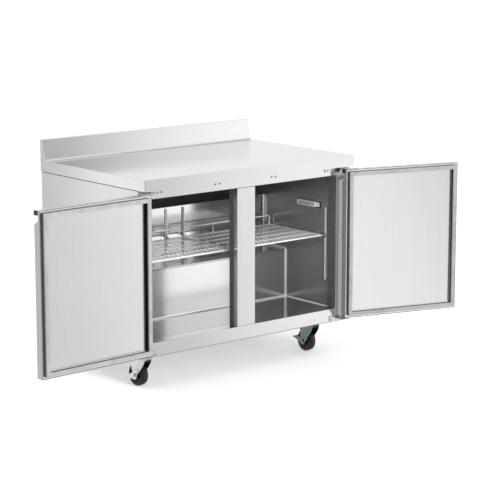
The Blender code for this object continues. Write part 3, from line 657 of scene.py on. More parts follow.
def breaker_strips():
    """Grey plastic thermal breaks along the upright sides of both openings."""
    low, high = local_box("mullion")
    opening = local_box("right_post")[0].x
    thick = 0.0011
    behind_mullion = FACE_Y + 0.021
    behind_post = FACE_Y + 0.005
    for name, x, front in (
        ("mullion_left_breaker", low.x - thick, behind_mullion),
        ("mullion_right_breaker", high.x, behind_mullion),
        ("left_post_breaker", -opening, behind_post),
        ("right_post_breaker", opening - thick, behind_post),
    ):
        span = ((x, front, low.z + SHEET), (x + thick, high.y - 0.0005, high.z - SHEET))
        boxes(name, [span], "breaker", rounding=0.0004, segments=2)


# Liner ----------------------------------------------------------------------------------------------
def cove(work, centre, first, second, start, end, axis, radius):
    """A concave fillet along an axis, in the corner at centre, whose legs run along first and second."""
    outline = [centre]
    for k in range(9):
        turn = math.pi / 2 * k / 8
        near = radius * (1 - math.sin(turn))
        far = radius * (1 - math.cos(turn))
        outline.append((centre[0] + first[0] * near + second[0] * far, centre[1] + first[1] * near + second[1] * far))
    add_prism(work, outline, start, end, axis)


def liner():
    """Liner sheets keep their CAD shapes; their inside corners get the rounded folds of a real liner."""
    refinish("liner_z", "liner_left_wall", "liner_right_wall", "liner_back_wall")
    refinish("liner_x", "liner_ceiling")
    refinish("liner_y", "liner_floor")
    # The cover and the step take brighter, painted-light copies of the liner steel.
    refinish("cover", "evaporator_cover")
    refinish("step", "compressor_step")
    right = RIGHT_WALL_X
    left = -right
    front = LINER_FRONT_Y
    wide = 0.0085
    tight = 0.0045
    cover_top = 0.699

    def upright(work):
        for wall, way in ((left, 1), (right, -1)):
            cove(work, (wall, STEP_Y), (way, 0), (0, -1), FLOOR_Z, STEP_Z, 2, wide)
            cove(work, (wall, COVER_Y), (way, 0), (0, -1), STEP_Z, cover_top, 2, wide)
            cove(work, (wall, FLOOR_Z), (way, 0), (0, 1), front, STEP_Y, 1, tight)
            cove(work, (wall, STEP_Z), (way, 0), (0, 1), STEP_Y, COVER_Y, 1, wide)
            cove(work, (wall, CEILING_Z), (way, 0), (0, -1), front, REAR_WALL_Y, 1, wide)

    # The folds take the painted-highlight copy of the liner steel.
    make("liner_side_folds", upright, "fold", angle=50)

    def level(work):
        cove(work, (STEP_Y, FLOOR_Z), (-1, 0), (0, 1), left, right, 0, 0.0075)
        cove(work, (COVER_Y, STEP_Z), (-1, 0), (0, 1), left, right, 0, 0.005)
        cove(work, (REAR_WALL_Y, CEILING_Z), (-1, 0), (0, -1), left, right, 0, wide)

    make("liner_long_folds", level, "fold", angle=50)
    back = STEP_Y + 0.004
    nose = arc((back, STEP_Z - 0.004), 0.0046, 90, 180, 6)
    outline = [(back, STEP_Z + 0.0003), *nose[1:], (STEP_Y + 0.0004, STEP_Z - 0.012), (back, STEP_Z - 0.012)]
    prisms("step_nosing", [(outline, left, right, 0)], "liner_x", angle=50)
    heads = [(x, COVER_Y, z) for x in (-0.53, -0.27, 0.27, 0.53) for z in (0.486, 0.684)]
    screws("evaporator_cover_screws", heads, (0, -1, 0), radius=0.0036, height=0.0018)


# Shelves --------------------------------------------------------------------------------------------
def shelves():
    """Wire shelves: heavy rim, cross rods under close surface wires and a looped backstop."""
    rim = 0.0037
    bar = 0.0030
    rail = 0.0028
    thin = 0.0020
    level = SHELF_LOW.z + 0.005 - thin
    under = level - thin - rim + 0.0004
    rail_bend = 0.011
    for node in ("left_shelf", "right_shelf"):
        low, high = local_box(node)
        x0, x1 = low.x + rim, high.x - rim
        y0, y1 = low.y + rim, high.y - rim
        corners = rounded_rectangle(x0, y0, x1, y1, 0.009, 5)
        paths = [(rim, [(x, y, under) for x, y in corners + corners[:2]])]
        for share in (0.2, 0.4, 0.6, 0.8):
            y = y0 + (y1 - y0) * share
            paths.append((bar, [(x0, y, under), (x1, y, under)]))
        count = round((x1 - x0) / 0.0235)
        for k in range(1, count):
            x = x0 + (x1 - x0) * k / count
            paths.append((thin, [(x, y0 - 0.001, level), (x, y1 + 0.001, level)]))
        peak = high.z - 0.003
        back = y1 + 0.0004
        left, right = x0 + 0.004, x1 - 0.004
        turn = arc((0, 0), rail_bend, 0, 90, 6)
        rise = [(left + rail_bend - x, back, peak - rail_bend + z) for x, z in turn]
        fall = [(right - rail_bend + x, back, peak - rail_bend + z) for x, z in reversed(turn)]
        paths.append((rail, [(left, back, under), *rise, *fall, (right, back, under)]))
        for share in (1 / 3, 2 / 3):
            x = x0 + (x1 - x0) * share
            paths.append((thin, [(x, back, under), (x, back, peak)]))
        wires(node + "_wires", paths, "wire", (node,))


def clip_shape(work, place):
    """A pressed shelf clip: a hook in the pilaster's slot and a lip that carries the rim."""
    outline = [(0.0, -0.011), (0.0, 0.010), (0.002, 0.012), (0.004, 0.010), (0.004, 0.001), (0.011, 0.001),
               (0.0125, 0.0045), (0.014, 0.004), (0.014, -0.001), (0.005, -0.003), (0.002, -0.011)]
    add_prism(work, outline, -0.0045, 0.0045, 1, place)


def pilasters():
    """Slotted strips with folded flanges and a black strip behind the slots that paints their shadow. The left wall's
    pair mirrors the right wall's.
    """
    rail = 0.0026
    rung = 0.0047
    pitch = 0.0127
    lap = 0.0004
    sheet = 0.0011
    shadow_strips = []
    flanges = []
    for node, wide in (("right_front_pilaster", 1), ("right_rear_pilaster", 1), ("left_front_pilaster", 1),
                       ("left_rear_pilaster", 1), ("centre_left_pilaster", 0), ("centre_right_pilaster", 0)):
        low, high = local_box(node if node in NODES else node.replace("left", "right"))
        if node not in NODES:
            low.x, high.x = -high.x, -low.x
        axis = 1 - wide
        wall_way = -1 if wide and low.x < 0 else 1

        def bar(start, end, foot, head, depth=high[axis] - low[axis], lift=0.0, low=low, high=high, wide=wide,
                axis=axis, wall_way=wall_way):
            """A box along the strip, which stands on the wall's side by its depth and is lifted towards the room."""
            first, last = low.copy(), high.copy()
            first[wide], last[wide] = start, end
            first.z, last.z = foot, head
            room, wall = (first, last) if wall_way > 0 else (last, first)
            room[axis] = wall[axis] - wall_way * (depth + lift)
            return first, last

        near, far = low[wide], high[wide]
        ladder = [bar(near, near + rail, low.z, high.z), bar(far - rail, far, low.z, high.z)]
        inner = (near + rail - lap, far - rail + lap)
        level = high.z - rung
        while level > low.z + pitch - rung:
            ladder.append(bar(*inner, level, level + rung))
            level -= pitch
        ladder.append(bar(*inner, low.z, level + rung))
        boxes(node + "_strip", ladder, "strip", rounding=0.0002, segments=1,
              replaces=(node,) if node in NODES else ())
        # Painted shadow: a thin black strip behind the slots, where the channel is only in shade.
        shadow_strips.append(bar(near + rail - lap / 2, far - rail + lap / 2, low.z + 0.001, high.z - 0.001, depth=0.0006))
        flanges += [bar(edge, edge + sheet, low.z, high.z, lift=0.0008) for edge in (near, far - sheet)]
    boxes("pilaster_slot_shadow_strips", shadow_strips, "black")
    boxes("pilaster_flanges", flanges, "strip", rounding=0.0003, segments=2)


def shelf_clips():
    level = SHELF_LOW.z - 0.001
    shank = (level - 0.0035, level - 0.0019)

    def clips(work):
        wall = local_box("right_front_pilaster")[0].x
        for way in (-1, 1):
            for node, reach in (("right_front_pilaster", 1), ("right_rear_pilaster", -1)):
                low, high = local_box(node)
                middle = (low.y + high.y) / 2
                turn = Matrix.Rotation(math.pi if way > 0 else 0.0, 4, "Z")
                clip_shape(work, Matrix.Translation((way * wall, middle, level)) @ turn)
                x0, x1 = sorted((way * (wall - 0.001), way * (wall - 0.012)))
                y0, y1 = sorted((middle - 0.004 * reach, middle + 0.0198 * reach))
                add_box(work, (x0, y0, shank[0]), (x1, y1, shank[1]))
        for node in ("centre_left_pilaster", "centre_right_pilaster"):
            low, high = local_box(node)
            middle = (low.x + high.x) / 2
            clip_shape(work, Matrix.Translation((middle, low.y, level)) @ Matrix.Rotation(-math.pi / 2, 4, "Z"))
            add_box(work, (middle - 0.004, SHELF_HIGH.y - 0.004, shank[0]), (middle + 0.004, low.y, shank[1]))

    make("shelf_clips", clips, "zinc", rounding=0.0003, segments=2)


def thermometer():
    """A slim plastic display case on the right wall, with a lens, a screwed foot and a wire clip at its front, and a
    black pad behind it that paints its shadow.
    """
    low, high = local_box("thermometer")
    middle = (low.z + high.z) / 2
    half_lens = (high.z - low.z) * 0.22
    outline = rounded_rectangle(low.y + 0.020, low.z, high.y, high.z, 0.008, 6)
    prisms("thermometer_case", [(outline, low.x + 0.001, high.x, 0)], "grey", rounding=0.0022,
           replaces=("thermometer",))

    face = (low.x + 0.0002, low.x + 0.003, 0)
    lens = rounded_rectangle(low.y + 0.050, middle - half_lens, high.y - 0.016, middle + half_lens, 0.004, 5)
    shapes = [(lens, *face)]
    for k in range(3):
        y = low.y + 0.030 + 0.006 * k
        shapes.append((rounded_rectangle(y, low.z + 0.006, y + 0.003, high.z - 0.006, 0.0014, 3), *face))
    prisms("thermometer_lens", shapes, "lens", rounding=0.0004, segments=2)

    def foot(work):
        base = high.x - 0.004
        outline = rounded_rectangle(low.y, low.z + 0.002, low.y + 0.026, high.z - 0.002, 0.005, 5)
        add_prism(work, outline, base, high.x, 0)
        screw_head(work, (base, low.y + 0.009, middle), (-1, 0, 0), 0.0044, 0.003)
        for start, end in ((low.z + 0.004, low.z + 0.006), (high.z - 0.004, high.z - 0.006)):
            add_rod(work, (base, low.y + 0.003, start), (high.x - 0.013, low.y + 0.012, end), 0.0016)

    make("thermometer_clip", foot, "grey", angle=40)
    # Painted shadow: a black pad on the wall, a little larger than the case, reaching out below and in front of it.
    outline = rounded_rectangle(low.y - 0.006, low.z - 0.004, high.y + 0.002, high.z + 0.002, 0.008, 6)
    prisms("thermometer_shadow_pad", [(outline, high.x - 0.0025, high.x - 0.0002, 0)], "black", rounding=0.0006, segments=2)


# Doors ----------------------------------------------------------------------------------------------
PAN_DEPTH = 0.036
PAN_HINGE_EDGE = 0.013
PAN_FREE_EDGE = 0.5767
GASKET_HEIGHT = 0.018
GASKET_FACE = 0.018
GASKET_INSET = 0.011
GRIP_DEPTH = 0.0245
GRIP_LIP = 0.021
GRIP_FLOOR = 0.039
GRIP_SLOPE_END = 0.058
PAN_INNER_Y = 0.0165
PAN_OUTER_Y = PAN_INNER_Y - PAN_DEPTH


def door_frame(side):
    """The door's own frame at rest: its hinge axis, turned by how far the door stands open."""
    joint = JOINTS[("left" if side < 0 else "right") + "_door_hinge"]
    limits = joint["range_deg"]
    opened = -limits[1] if side < 0 else -limits[0]
    pivot = Vector(joint["pos_m"])
    return Matrix.Translation((pivot.x, pivot.y, 0.0)) @ Matrix.Rotation(math.radians(opened), 4, "Z")


def span(side, start, end):
    """A span measured from the hinge towards the free edge, as low and high X in the door's frame."""
    return sorted((-side * start, -side * end))


def add_open_prism(work, outline, x0, x1, axis, level):
    """A prism along X whose face at a level of an axis is left open, for sheet that is given its gauge later."""
    add_prism(work, outline, x0, x1, 0)
    gone = [face for face in work.faces if all(abs(v.co[axis] - level) < 1e-6 for v in face.verts)]
    bmesh.ops.delete(work, geom=gone, context="FACES_ONLY")


def door(side):
    name = "left_door" if side < 0 else "right_door"
    riding = {"body": name, "place": door_frame(side)}
    channel = PAN_OUTER_Y + GRIP_DEPTH
    outline = [
        (PAN_OUTER_Y, DOOR_LOW),
        (PAN_OUTER_Y, DOOR_HIGH - GRIP_SLOPE_END),
        *arc((channel - 0.006, DOOR_HIGH - GRIP_FLOOR - 0.002), 0.006, -25, 0, 3),
        *arc((channel - 0.005, DOOR_HIGH - GRIP_LIP - 0.005), 0.005, 0, 90, 5),
        (PAN_OUTER_Y, DOOR_HIGH - GRIP_LIP),
        (PAN_OUTER_Y, DOOR_HIGH),
        (PAN_INNER_Y, DOOR_HIGH),
        (PAN_INNER_Y, DOOR_LOW),
    ]
    x0, x1 = span(side, -PAN_HINGE_EDGE, PAN_FREE_EDGE)
    make(name + "_outer_skin", lambda work: add_open_prism(work, outline, x0, x1, 1, PAN_INNER_Y), "door_steel",
         rounding=0.0016, replaces=(name + "_skin",), gauge=SHEET, **riding)

    inset = SHEET + 0.0002
    edge = GASKET_INSET + GASKET_FACE - inset + 0.001
    steps = ((0.0, 0.0115), (0.0, PAN_INNER_Y - 0.0012), (0.0012, PAN_INNER_Y), (edge - 0.004, PAN_INNER_Y),
             (edge + 0.001, PAN_INNER_Y - 0.0024), (edge + 0.004, PAN_INNER_Y - 0.003))
    loops = [door_loop(side, -PAN_HINGE_EDGE, inset + shift, y) for shift, y in steps]
    make(name + "_inner_panel", lambda work: add_loops(work, loops), "door_liner", rounding=0.0007, segments=2,
         replaces=(name + "_liner",), **riding)
    gasket(name, side, riding)
    grip_caps(name, side, riding)
    hinge_leaves(name, side, riding)


def door_loop(side, hinge_edge, inset, y):
    """A rectangle at a depth of the door, set in from its edges."""
    x0, x1 = span(side, hinge_edge + inset, PAN_FREE_EDGE - inset)
    z0 = DOOR_LOW + inset
    z1 = DOOR_HIGH - inset
    return [(x0, y, z0), (x1, y, z0), (x1, y, z1), (x0, y, z1)]


def gasket(name, side, riding):
    """Extruded gasket welded at its mitred corners: a dart lip, a two-pleat bellows and a flat magnet pocket."""
    wide = GASKET_FACE
    tall = GASKET_HEIGHT
    face, inner, outer = range(3)
    section = [
        (0.0016, 0.0002, outer), (0.0000, 0.0012, outer), (0.0000, 0.0036, outer), (0.0022, 0.0060, outer),
        (0.0004, 0.0090, outer), (0.0000, 0.0105, face), (0.0000, 0.0160, face), (0.0006, 0.0174, face),
        (0.0020, tall, face), (0.0080, tall, face), (0.0085, tall - 0.0004, face), (0.0095, tall - 0.0004, face),
        (0.0100, tall, face), (wide - 0.0020, tall, face), (wide - 0.0006, 0.0174, face), (wide, 0.0160, face),
        (wide, 0.0105, inner), (wide - 0.0014, 0.0090, inner), (wide - 0.0030, 0.0060, inner),
        (wide - 0.0004, 0.0036, inner), (wide, 0.0002, inner),
    ]
    seat = PAN_INNER_Y - 0.0004
    hinge_edge = 0.003 - PAN_HINGE_EDGE
    loops = [door_loop(side, hinge_edge, GASKET_INSET + shift, seat + height) for shift, height, _ in section]

    def build(work):
        for number, skin in enumerate(add_loops(work, loops, close=True)):
            skin.material_index = section[number // 4][2]

    # The face takes the gasket vinyl; the flanks take its darker copies as painted shade.
    make(name + "_magnet_gasket", build, ("gasket", "gasket_inner_painted_shade", "gasket_outer_painted_shade"), replaces=(name + "_gasket",),
         angle=38, **riding)


def grip_caps(name, side, riding):
    """Black end plugs that close the lip of the pull channel."""
    outline = rounded_rectangle(PAN_OUTER_Y + 0.0004, DOOR_HIGH - GRIP_LIP + 0.0004, PAN_OUTER_Y + 0.0226,
                                DOOR_HIGH - 0.0004, 0.004, 5)
    for end, edge, way in (("hinge", -PAN_HINGE_EDGE, -1), ("free", PAN_FREE_EDGE, 1)):
        start = edge + way * 0.0002
        prisms(f"{name}_{end}_end_plug", [(outline, *span(side, start, start + way * 0.0022), 0)], "black",
               rounding=0.0009, replaces=(f"{name}_{end}_grip_cap",), **riding)


def hinge_leaves(name, side, riding):
    """Leaves on the door's top and bottom that take the hinge pins, held by nuts and a countersunk screw."""
    x0, x1 = span(side, -0.009, 0.057)
    outline = rounded_rectangle(x0, -0.0085, x1, 0.0085, 0.0055, 6)
    gap = 0.0002
    thick = 0.0018
    for title, low, way in (("_hinge_leaf", DOOR_HIGH + gap, 1), ("_lower_hinge_leaf", DOOR_LOW - gap - thick, -1)):
        outside = low + thick if way > 0 else low

        def build(work, low=low, way=way, outside=outside):
            add_prism(work, outline, low, low + thick, 2)
            hex_nut(work, (-side * 0.043, 0.0, outside), (0, 0, way), 0.008, 0.0009, 0.002)
            if way > 0:
                screw_head(work, (-side * 0.026, 0.0, outside), (0, 0, 1), 0.0032, 0.0009)

        make(name + title, build, "zinc", angle=38, **riding)


def hinges():
    """Bent brackets on the face frame: a rounded arm over each door end, a screwed flange and a shouldered pin."""
    plate = 0.003
    for side_name, side in (("left", -1), ("right", 1)):
        pivot = Vector(JOINTS[side_name + "_door_hinge"]["pos_m"]) - ORIGIN
        outer = side * (BODY_HALF - 0.001)
        for end in ("top", "bottom"):
            node = f"{side_name}_{end}_hinge"
            low, high = local_box(node)
            face = high.y
            if end == "top":
                arm = (high.z - plate, high.z)
                flange = (low.z + 0.0035, high.z)
                outside, way, tip = arm[1], 1, arm[0] - 0.016
                heads = (0.519, 0.499, 0.477) if side < 0 else (0.549, 0.510, 0.484)
                head_z = 0.882
            else:
                arm = (low.z + 0.011, low.z + 0.011 + plate)
                flange = (low.z, low.z + 0.026)
                outside, way, tip = arm[0], -1, arm[1] + 0.016
                heads = (0.519, 0.547)
                head_z = 0.1715
            x0, x1 = sorted((outer, side * (abs(pivot.x) - 0.030)))
            round_y = low.y + 0.010
            outline = [(x1, face), (x0, face), *arc((x0 + 0.010, round_y), 0.010, 180, 270, 6),
                       *arc((x1 - 0.010, round_y), 0.010, 270, 360, 6)]
            x0, x1 = sorted((outer, low.x if side > 0 else high.x))
            foot = rounded_rectangle(x0, flange[0], x1, flange[1], 0.0028, 4)
            prisms(node + "_bracket", [(outline, *arm, 2), (foot, face - plate, face, 1)], "bracket",
                   rounding=0.0006, segments=2, replaces=(node,))
            shoulder = 0.0040
            head = [(0.0, outside + way * 0.0022), (0.0046, outside + way * 0.0021), (0.0062, outside + way * 0.0012),
                    (0.0065, outside), (shoulder, outside), (shoulder, tip), (0.0, tip)]
            axis = Matrix.Translation((pivot.x, pivot.y, 0.0))
            make(node + "_pin", lambda work: add_lathe(work, head, 24, axis), "zinc", angle=40)
            spots = [(side * x, face - plate, head_z) for x in heads]
            screws(node + "_screws", spots, (0, -1, 0), "fastener", radius=0.0034, height=0.0016)


# Casters --------------------------------------------------------------------------------------------
WHEEL_RADIUS = 0.051
WHEEL_HALF = 0.016
LEG_INNER = WHEEL_HALF + 0.0035
LEG_OUTER = LEG_INNER + 0.0025
# The front right caster wears the darker, greener zinc copy: painted reflection and shade.
PLATING = {"front_left": "zinc", "front_right": "green_zinc", "rear_left": "zinc", "rear_right": "zinc"}


def caster_frame(corner):
    """The caster's own frame at rest: the kingpin's axis, with X along its trail, and the trail's length."""
    pin = Vector(JOINTS[corner + "_swivel_turn"]["pos_m"])
    axle = Vector(JOINTS[corner + "_wheel_roll"]["pos_m"])
    reach = Vector((axle.x - pin.x, axle.y - pin.y))
    heading = math.atan2(reach.y, reach.x)
    return Matrix.Translation((pin.x, pin.y, 0.0)) @ Matrix.Rotation(heading, 4, "Z"), reach.length


def caster(corner):
    place, trail = caster_frame(corner)
    name = corner + "_caster"
    riding = {"body": corner + "_swivel", "place": place}
    plating = PLATING[corner]
    braked = name + "_brake" in NODES
    plate_low, plate_high = local_box(name + "_plate")
    top = plate_high.z
    seat = top - 0.0035
    race_low = seat - 0.010
    crown_top = race_low - 0.0003
    crown_low = crown_top - 0.007
    centre = (plate_low + plate_high) / 2
    outline = rounded_rectangle(plate_low.x, plate_low.y, plate_high.x, plate_high.y, 0.007, 5)
    prisms(name + "_mounting_plate", [(outline, seat, top, 2)], plating, rounding=0.0008, segments=2,
           replaces=(name + "_plate",))

    def race(work):
        axis = Matrix.Translation((centre.x, centre.y, 0.0))
        cup = [(0.0, seat), (0.0290, seat), (0.0296, seat - 0.0015), (0.0285, race_low + 0.0052),
               (0.0268, race_low + 0.0044), (0.0262, race_low + 0.0036), (0.0272, race_low + 0.0028),
               (0.0280, race_low + 0.0012), (0.0270, race_low), (0.0, race_low)]
        add_lathe(work, cup, 40, axis)
        nut = [(0.0, crown_low - 0.0004), (0.0088, crown_low - 0.0004), (0.0085, crown_low - 0.0060),
               (0.0062, crown_low - 0.0080), (0.0, crown_low - 0.0085)]
        add_lathe(work, nut, 24, axis)
        for dx in (-0.037, 0.037):
            for dy in (-0.023, 0.023):
                hex_nut(work, (centre.x + dx, centre.y + dy, seat), (0, 0, -1), 0.0125, 0.005, 0.0038)

    make(name + "_race_and_bolts", race, plating, angle=40)

    crown_radius = 0.0335
    rear = trail + 0.023
    outline = [(x, y * LEG_OUTER / crown_radius) for x, y in arc((0.0, 0.0), crown_radius, 90, 270, 14)]
    outline += [(rear, -LEG_OUTER), (rear, LEG_OUTER)]
    prisms(name + "_fork_crown", [(outline, crown_low, crown_top, 2)], plating, rounding=0.0022,
           replaces=(name + "_fork",), **riding)

    root = crown_top - 0.003
    outline = [(-0.027, root), (-0.0235, 0.116), (-0.015, 0.101), (-0.002, 0.084), (0.011, 0.0685), (0.020, 0.057),
               *arc((trail, WHEEL_RADIUS), 0.0135, -145, 5, 10), (trail + 0.0155, 0.063), (trail + 0.0205, 0.074),
               (trail + 0.0225, 0.086), (rear, 0.100), (rear, root)]
    prisms(name + "_fork_legs", [(outline, *sorted((way * LEG_INNER, way * LEG_OUTER)), 1) for way in (-1, 1)],
           plating, rounding=0.0007, segments=2, **riding)

    def axle(work):
        reach = LEG_OUTER + (0.0034 if braked else 0.0004)
        for way in (-1, 1):
            end = (trail, way * reach, WHEEL_RADIUS)
            hex_nut(work, end, (0, way, 0), 0.0145, 0.0046, 0.0036)
            add_rod(work, (trail, way * (LEG_OUTER - 0.001), WHEEL_RADIUS), end, 0.0046, 16)

    make(name + "_axle_bolt", axle, plating, angle=35, **riding)
    wheel(corner, place, trail)
    if braked:
        brake(corner, place, trail)


def wheel(corner, place, trail):
    """Moulded wheel: crowned tread with worn shoulders, stepped rim, ribbed web and a hub sleeve."""
    half = WHEEL_HALF
    radius = WHEEL_RADIUS
    spot = place @ Matrix.Translation((trail, 0.0, radius)) @ Matrix.Rotation(math.pi / 2, 4, "X")
    outer = [
        (0.0058, half + 0.0016), (0.0108, half + 0.0016), (0.0120, half + 0.0004), (0.0130, half - 0.0050),
        (0.0150, half - 0.0058), (0.0335, half - 0.0040), (0.0352, half - 0.0010), (0.0368, half - 0.0002),
        (0.0385, half - 0.0008), (0.0400, half - 0.0002), (radius - 0.0052, half), (radius - 0.0030, half - 0.0008),
        (radius - 0.0012, half - 0.0026), (radius - 0.0003, half - 0.0060), (radius, half * 0.35),
    ]

    def build(work):
        add_lathe(work, outer + [(r, -h) for r, h in reversed(outer)], 72, Matrix.Identity(4))
        foot = half - 0.0065
        rib = [(0.012, foot), (0.012, half - 0.0012), (0.0345, half - 0.0022), (0.0345, foot)]
        for k in range(8):
            turn = Matrix.Rotation(math.tau * k / 8, 4, "Z")
            for way in (-1, 1):
                add_prism(work, [(x, way * z) for x, z in rib], -0.0011, 0.0011, 1, turn)

    make(corner + "_moulded_wheel", build, "tyre", corner + "_wheel", spot, replaces=(corner + "_caster_wheel",),
         angle=32)


def brake(corner, place, trail):
    """Pressed brake lever rocking on the axle bolt: wings outside the legs, a curled foot pad behind the wheel."""
    pressed = corner == "front_left"
    limits = JOINTS[corner + "_brake_press"]["range_deg"]
    rest = math.radians(max(abs(limits[0]), abs(limits[1]))) if pressed else 0.0
    spot = place @ Matrix.Translation((trail, 0.0, WHEEL_RADIUS)) @ Matrix.Rotation(rest, 4, "Y")
    riding = {"body": corner + "_brake", "place": spot, "segments": 2}
    inner = LEG_OUTER + 0.0003
    outer = inner + 0.0025
    wing = [(-0.0345, 0.0135), (-0.0335, 0.0180), (-0.030, 0.0188), (-0.020, 0.0172), (-0.006, 0.0150),
            (0.020, 0.0148), (0.048, 0.0142), (0.060, 0.0120), (0.0665, 0.0092), (0.0665, 0.0045), (0.050, 0.0008),
            (0.030, -0.0070), (0.016, -0.0150), (0.009, -0.0195), (0.002, -0.0208), (-0.004, -0.0192),
            (-0.009, -0.0145), (-0.020, -0.0010), (-0.029, 0.0075)]
    prisms(corner + "_brake_wings", [(wing, *sorted((way * inner, way * outer)), 1) for way in (-1, 1)],
           PLATING[corner], rounding=0.0007, replaces=(corner + "_caster_brake",), **riding)

    pad = [(0.0545, 0.0128), (0.062, 0.0112), (0.070, 0.0090), (0.0765, 0.0070), (0.0788, 0.0058),
           (0.0788, 0.0036), (0.0762, 0.0042), (0.070, 0.0062), (0.062, 0.0082), (0.0545, 0.0098)]
    shapes = [(pad, -outer, outer, 1)]
    tread = outer * 0.72
    for k in range(4):
        x = 0.0595 + 0.0045 * k
        z = 0.0121 - 0.0013 * k
        rib = [(x, z - 0.001), (x + 0.0016, z - 0.001), (x + 0.0012, z + 0.0006), (x + 0.0004, z + 0.0006)]
        shapes.append((rib, -tread, tread, 1))
    prisms(corner + "_brake_pad", shapes, PLATING[corner], rounding=0.0005, **riding)


# Machinery ------------------------------------------------------------------------------------------
def machinery():
    """Pieces inside the machine room and behind the evaporator cover keep their CAD shapes."""
    refinish("enamel", "compressor")
    refinish("black", "drain_pan", "evaporator_fan", "condenser_fan")
    refinish("fins", "evaporator_coil", "condenser_coil")
    low, high = local_box("cord_gland")
    middle = (low + high) / 2
    place = Matrix.Translation((middle.x, BODY_BACK, middle.z)) @ Matrix.Rotation(-math.pi / 2, 4, "X")
    bore = 0.0056
    shank = 0.0112
    tail = -0.0115
    ring = [(0.0165, 0.0006), (0.0158, 0.0018), (0.0140, 0.0022), (0.0085, 0.0022), (0.0075, 0.0016),
            (0.0062, 0.0002), (bore, -0.0030), (bore, tail), (shank, tail), (shank, 0.0003), (0.0165, 0.0003)]
    make("cord_gland_bushing", lambda work: add_lathe(work, ring, 40, place), "black", replaces=("cord_gland",))


# Stage ----------------------------------------------------------------------------------------------
def world_light():
    """A white surround seen directly, and for reflections a soft studio: bright all round, dim at front left."""
    world = bpy.data.worlds.new("studio")
    bpy.context.scene.world = world
    nodes = Nodes(world)
    nodes.tree.nodes.clear()
    direction = nodes.node("ShaderNodeTexCoord").outputs["Generated"]
    level = 1.30
    for toward, power, strength in (
        ((-0.64, -0.77, 0.02), 4.0, -1.30),
        ((0.75, -0.66, -0.10), 9.0, 0.22),
        ((-0.45, 0.85, -0.10), 12.0, -0.45),
        ((0.0, 0.0, 1.0), 3.0, 0.15),
        ((0.0, 0.0, -1.0), 2.0, -0.80),
    ):
        share = nodes.math("MAXIMUM", nodes.dot(direction, Vector(toward).normalized()), 0.0)
        lobe = nodes.math("MULTIPLY", nodes.math("POWER", share, power), strength)
        level = nodes.math("ADD", level, lobe)
    soft = nodes.node("ShaderNodeBackground")
    nodes.link(nodes.math("MAXIMUM", level, 0.12), soft.inputs["Strength"])
    plain = nodes.node("ShaderNodeBackground")
    plain.inputs["Strength"].default_value = 1.2
    mixed = nodes.node("ShaderNodeMixShader")
    nodes.link(nodes.node("ShaderNodeLightPath").outputs["Is Camera Ray"], mixed.inputs["Fac"])
    nodes.link(soft.outputs["Background"], mixed.inputs[1])
    nodes.link(plain.outputs["Background"], mixed.inputs[2])
    nodes.link(mixed.outputs["Shader"], nodes.node("ShaderNodeOutputWorld").inputs["Surface"])


def stage_sheet(name, size, place, material):
    """A flat sheet that belongs to the stage."""
    mesh = bpy.data.meshes.new(name)
    work = bmesh.new()
    bmesh.ops.create_grid(work, x_segments=1, y_segments=1, size=0.5)
    work.to_mesh(mesh)
    work.free()
    mesh.transform(Matrix.Diagonal((*size, 1.0, 1.0)))
    mesh.materials.append(material)
    sheet = bpy.data.objects.new(name, mesh)
    bpy.context.scene.collection.objects.link(sheet)
    sheet.matrix_world = place
    return sheet


def reflector(name, centre, turn, size, slant, stops):
    """A large studio panel seen only in reflections, whose light changes along its width and slants a little."""
    silk = bpy.data.materials.new(name)
    nodes = Nodes(silk)
    nodes.tree.nodes.clear()
    place = nodes.node("ShaderNodeTexCoord").outputs["Object"]
    half = size[0] / 2
    share = nodes.spread(nodes.dot(place, (1.0, slant, 0.0)), 0.0, 1.0, -half, half)
    brightest = 2.0
    steps = [(position / size[0], [level / brightest] * 3) for position, level in stops]
    glow = nodes.node("ShaderNodeEmission")
    glow.inputs["Strength"].default_value = brightest
    nodes.link(nodes.ramp(share, steps, "EASE"), glow.inputs["Color"])
    nodes.link(glow.outputs["Emission"], nodes.node("ShaderNodeOutputMaterial").inputs["Surface"])
    upright = Matrix.Rotation(math.radians(turn), 4, "Z") @ Matrix.Rotation(math.pi / 2, 4, "X")
    panel = stage_sheet(name, size, Matrix.Translation(ORIGIN + Vector(centre)) @ upright, silk)
    for kind in ("camera", "diffuse", "transmission", "volume_scatter", "shadow"):
        setattr(panel, "visible_" + kind, False)


def reflectors():
    """Two front panels, one above the other and dimmer at their left, and a rear left one that dims away.

    Stops are (metres from the panel's left edge, brightness).
    """
    stops = ((0.0, 1.28), (2.5, 1.24), (3.6, 0.84), (4.3, 0.84), (4.7, 0.90), (5.3, 1.13), (5.7, 1.24), (6.3, 1.33))
    reflector("front_reflector", (5.0, -6.0, -2.4), 0.0, (10.0, 6.0), 0.3, stops)
    stops = ((0.0, 1.28), (3.0, 0.90), (4.2, 0.54), (4.76, 0.50), (5.06, 0.66), (5.46, 0.89), (6.1, 1.22), (7.2, 1.45))
    reflector("upper_reflector", (5.0, -6.0, 5.6), 0.0, (10.0, 10.0), -0.33, stops)
    stops = ((0.0, 0.80), (0.6, 0.85), (1.0, 1.30), (1.3, 1.25), (2.0, 0.75), (3.0, 0.60), (4.8, 0.60))
    reflector("side_reflector", (-2.2, 3.6, 0.5), 90.0, (4.8, 8.0), 0.0, stops)


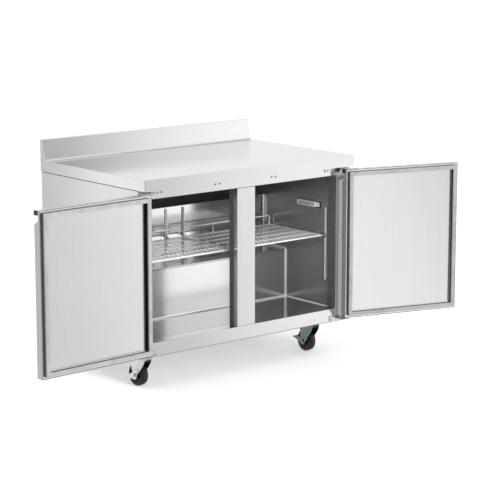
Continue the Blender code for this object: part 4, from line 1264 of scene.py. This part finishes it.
def floor():
    """A pale floor that stays light under the cabinet and out of the metal's reflections."""
    paper = bpy.data.materials.new("floor_paper")
    paper.use_nodes = True
    shader = paper.node_tree.nodes["Principled BSDF"]
    for key, value in {
        "Base Color": (0.72, 0.72, 0.72, 1.0),
        "Roughness": 0.9,
        "Specular IOR Level": 0.0,
        "Emission Color": (1.0, 1.0, 1.0, 1.0),
        "Emission Strength": 0.36,
    }.items():
        shader.inputs[key].default_value = value
    plane = stage_sheet("studio_floor", (60.0, 60.0), Matrix.Translation((0.0, 0.0, -0.0004)), paper)
    plane.visible_glossy = False


def soft_box(name, position, aim, size, power):
    data = bpy.data.lights.new(name, "AREA")
    data.shape = "DISK"
    data.size = size
    data.energy = power
    lamp = bpy.data.objects.new(name, data)
    bpy.context.scene.collection.objects.link(lamp)
    lamp.location = position
    lamp.rotation_euler = (Vector(aim) - Vector(position)).to_track_quat("-Z", "Y").to_euler()
    lamp.visible_camera = False
    lamp.visible_glossy = False


def camera():
    """A long lens from front left, above the worktop, looking down on it."""
    data = bpy.data.cameras.new("camera")
    data.lens = 135.95
    data.sensor_width = 36.0
    data.clip_end = 100.0
    view = bpy.data.objects.new("camera", data)
    bpy.context.scene.collection.objects.link(view)
    view.location = ORIGIN + Vector((-5.2465, -6.2091, 2.151))
    view.rotation_euler = (math.radians(90.0 - 10.833), 0.0, math.radians(-39.936))
    bpy.context.scene.camera = view


def stage():
    world_light()
    reflectors()
    floor()
    soft_box("key_light", ORIGIN + Vector((-2.2, 1.8, 4.0)), ORIGIN + Vector((0, 0.3, 0.5)), 3.0, 70.0)
    soft_box("inside_fill", ORIGIN + Vector((-0.6, -3.2, 1.3)), ORIGIN + Vector((0, 0.3, 0.5)), 1.6, 80.0)
    camera()
    bpy.context.scene.view_settings.view_transform = "Standard"


def main():
    worktop()
    cabinet_body()
    plugs()
    breaker_strips()
    liner()
    shelves()
    pilasters()
    shelf_clips()
    thermometer()
    for side in (-1, 1):
        door(side)
    hinges()
    for corner in ("front_left", "front_right", "rear_left", "rear_right"):
        caster(corner)
    machinery()
    stage()


main()
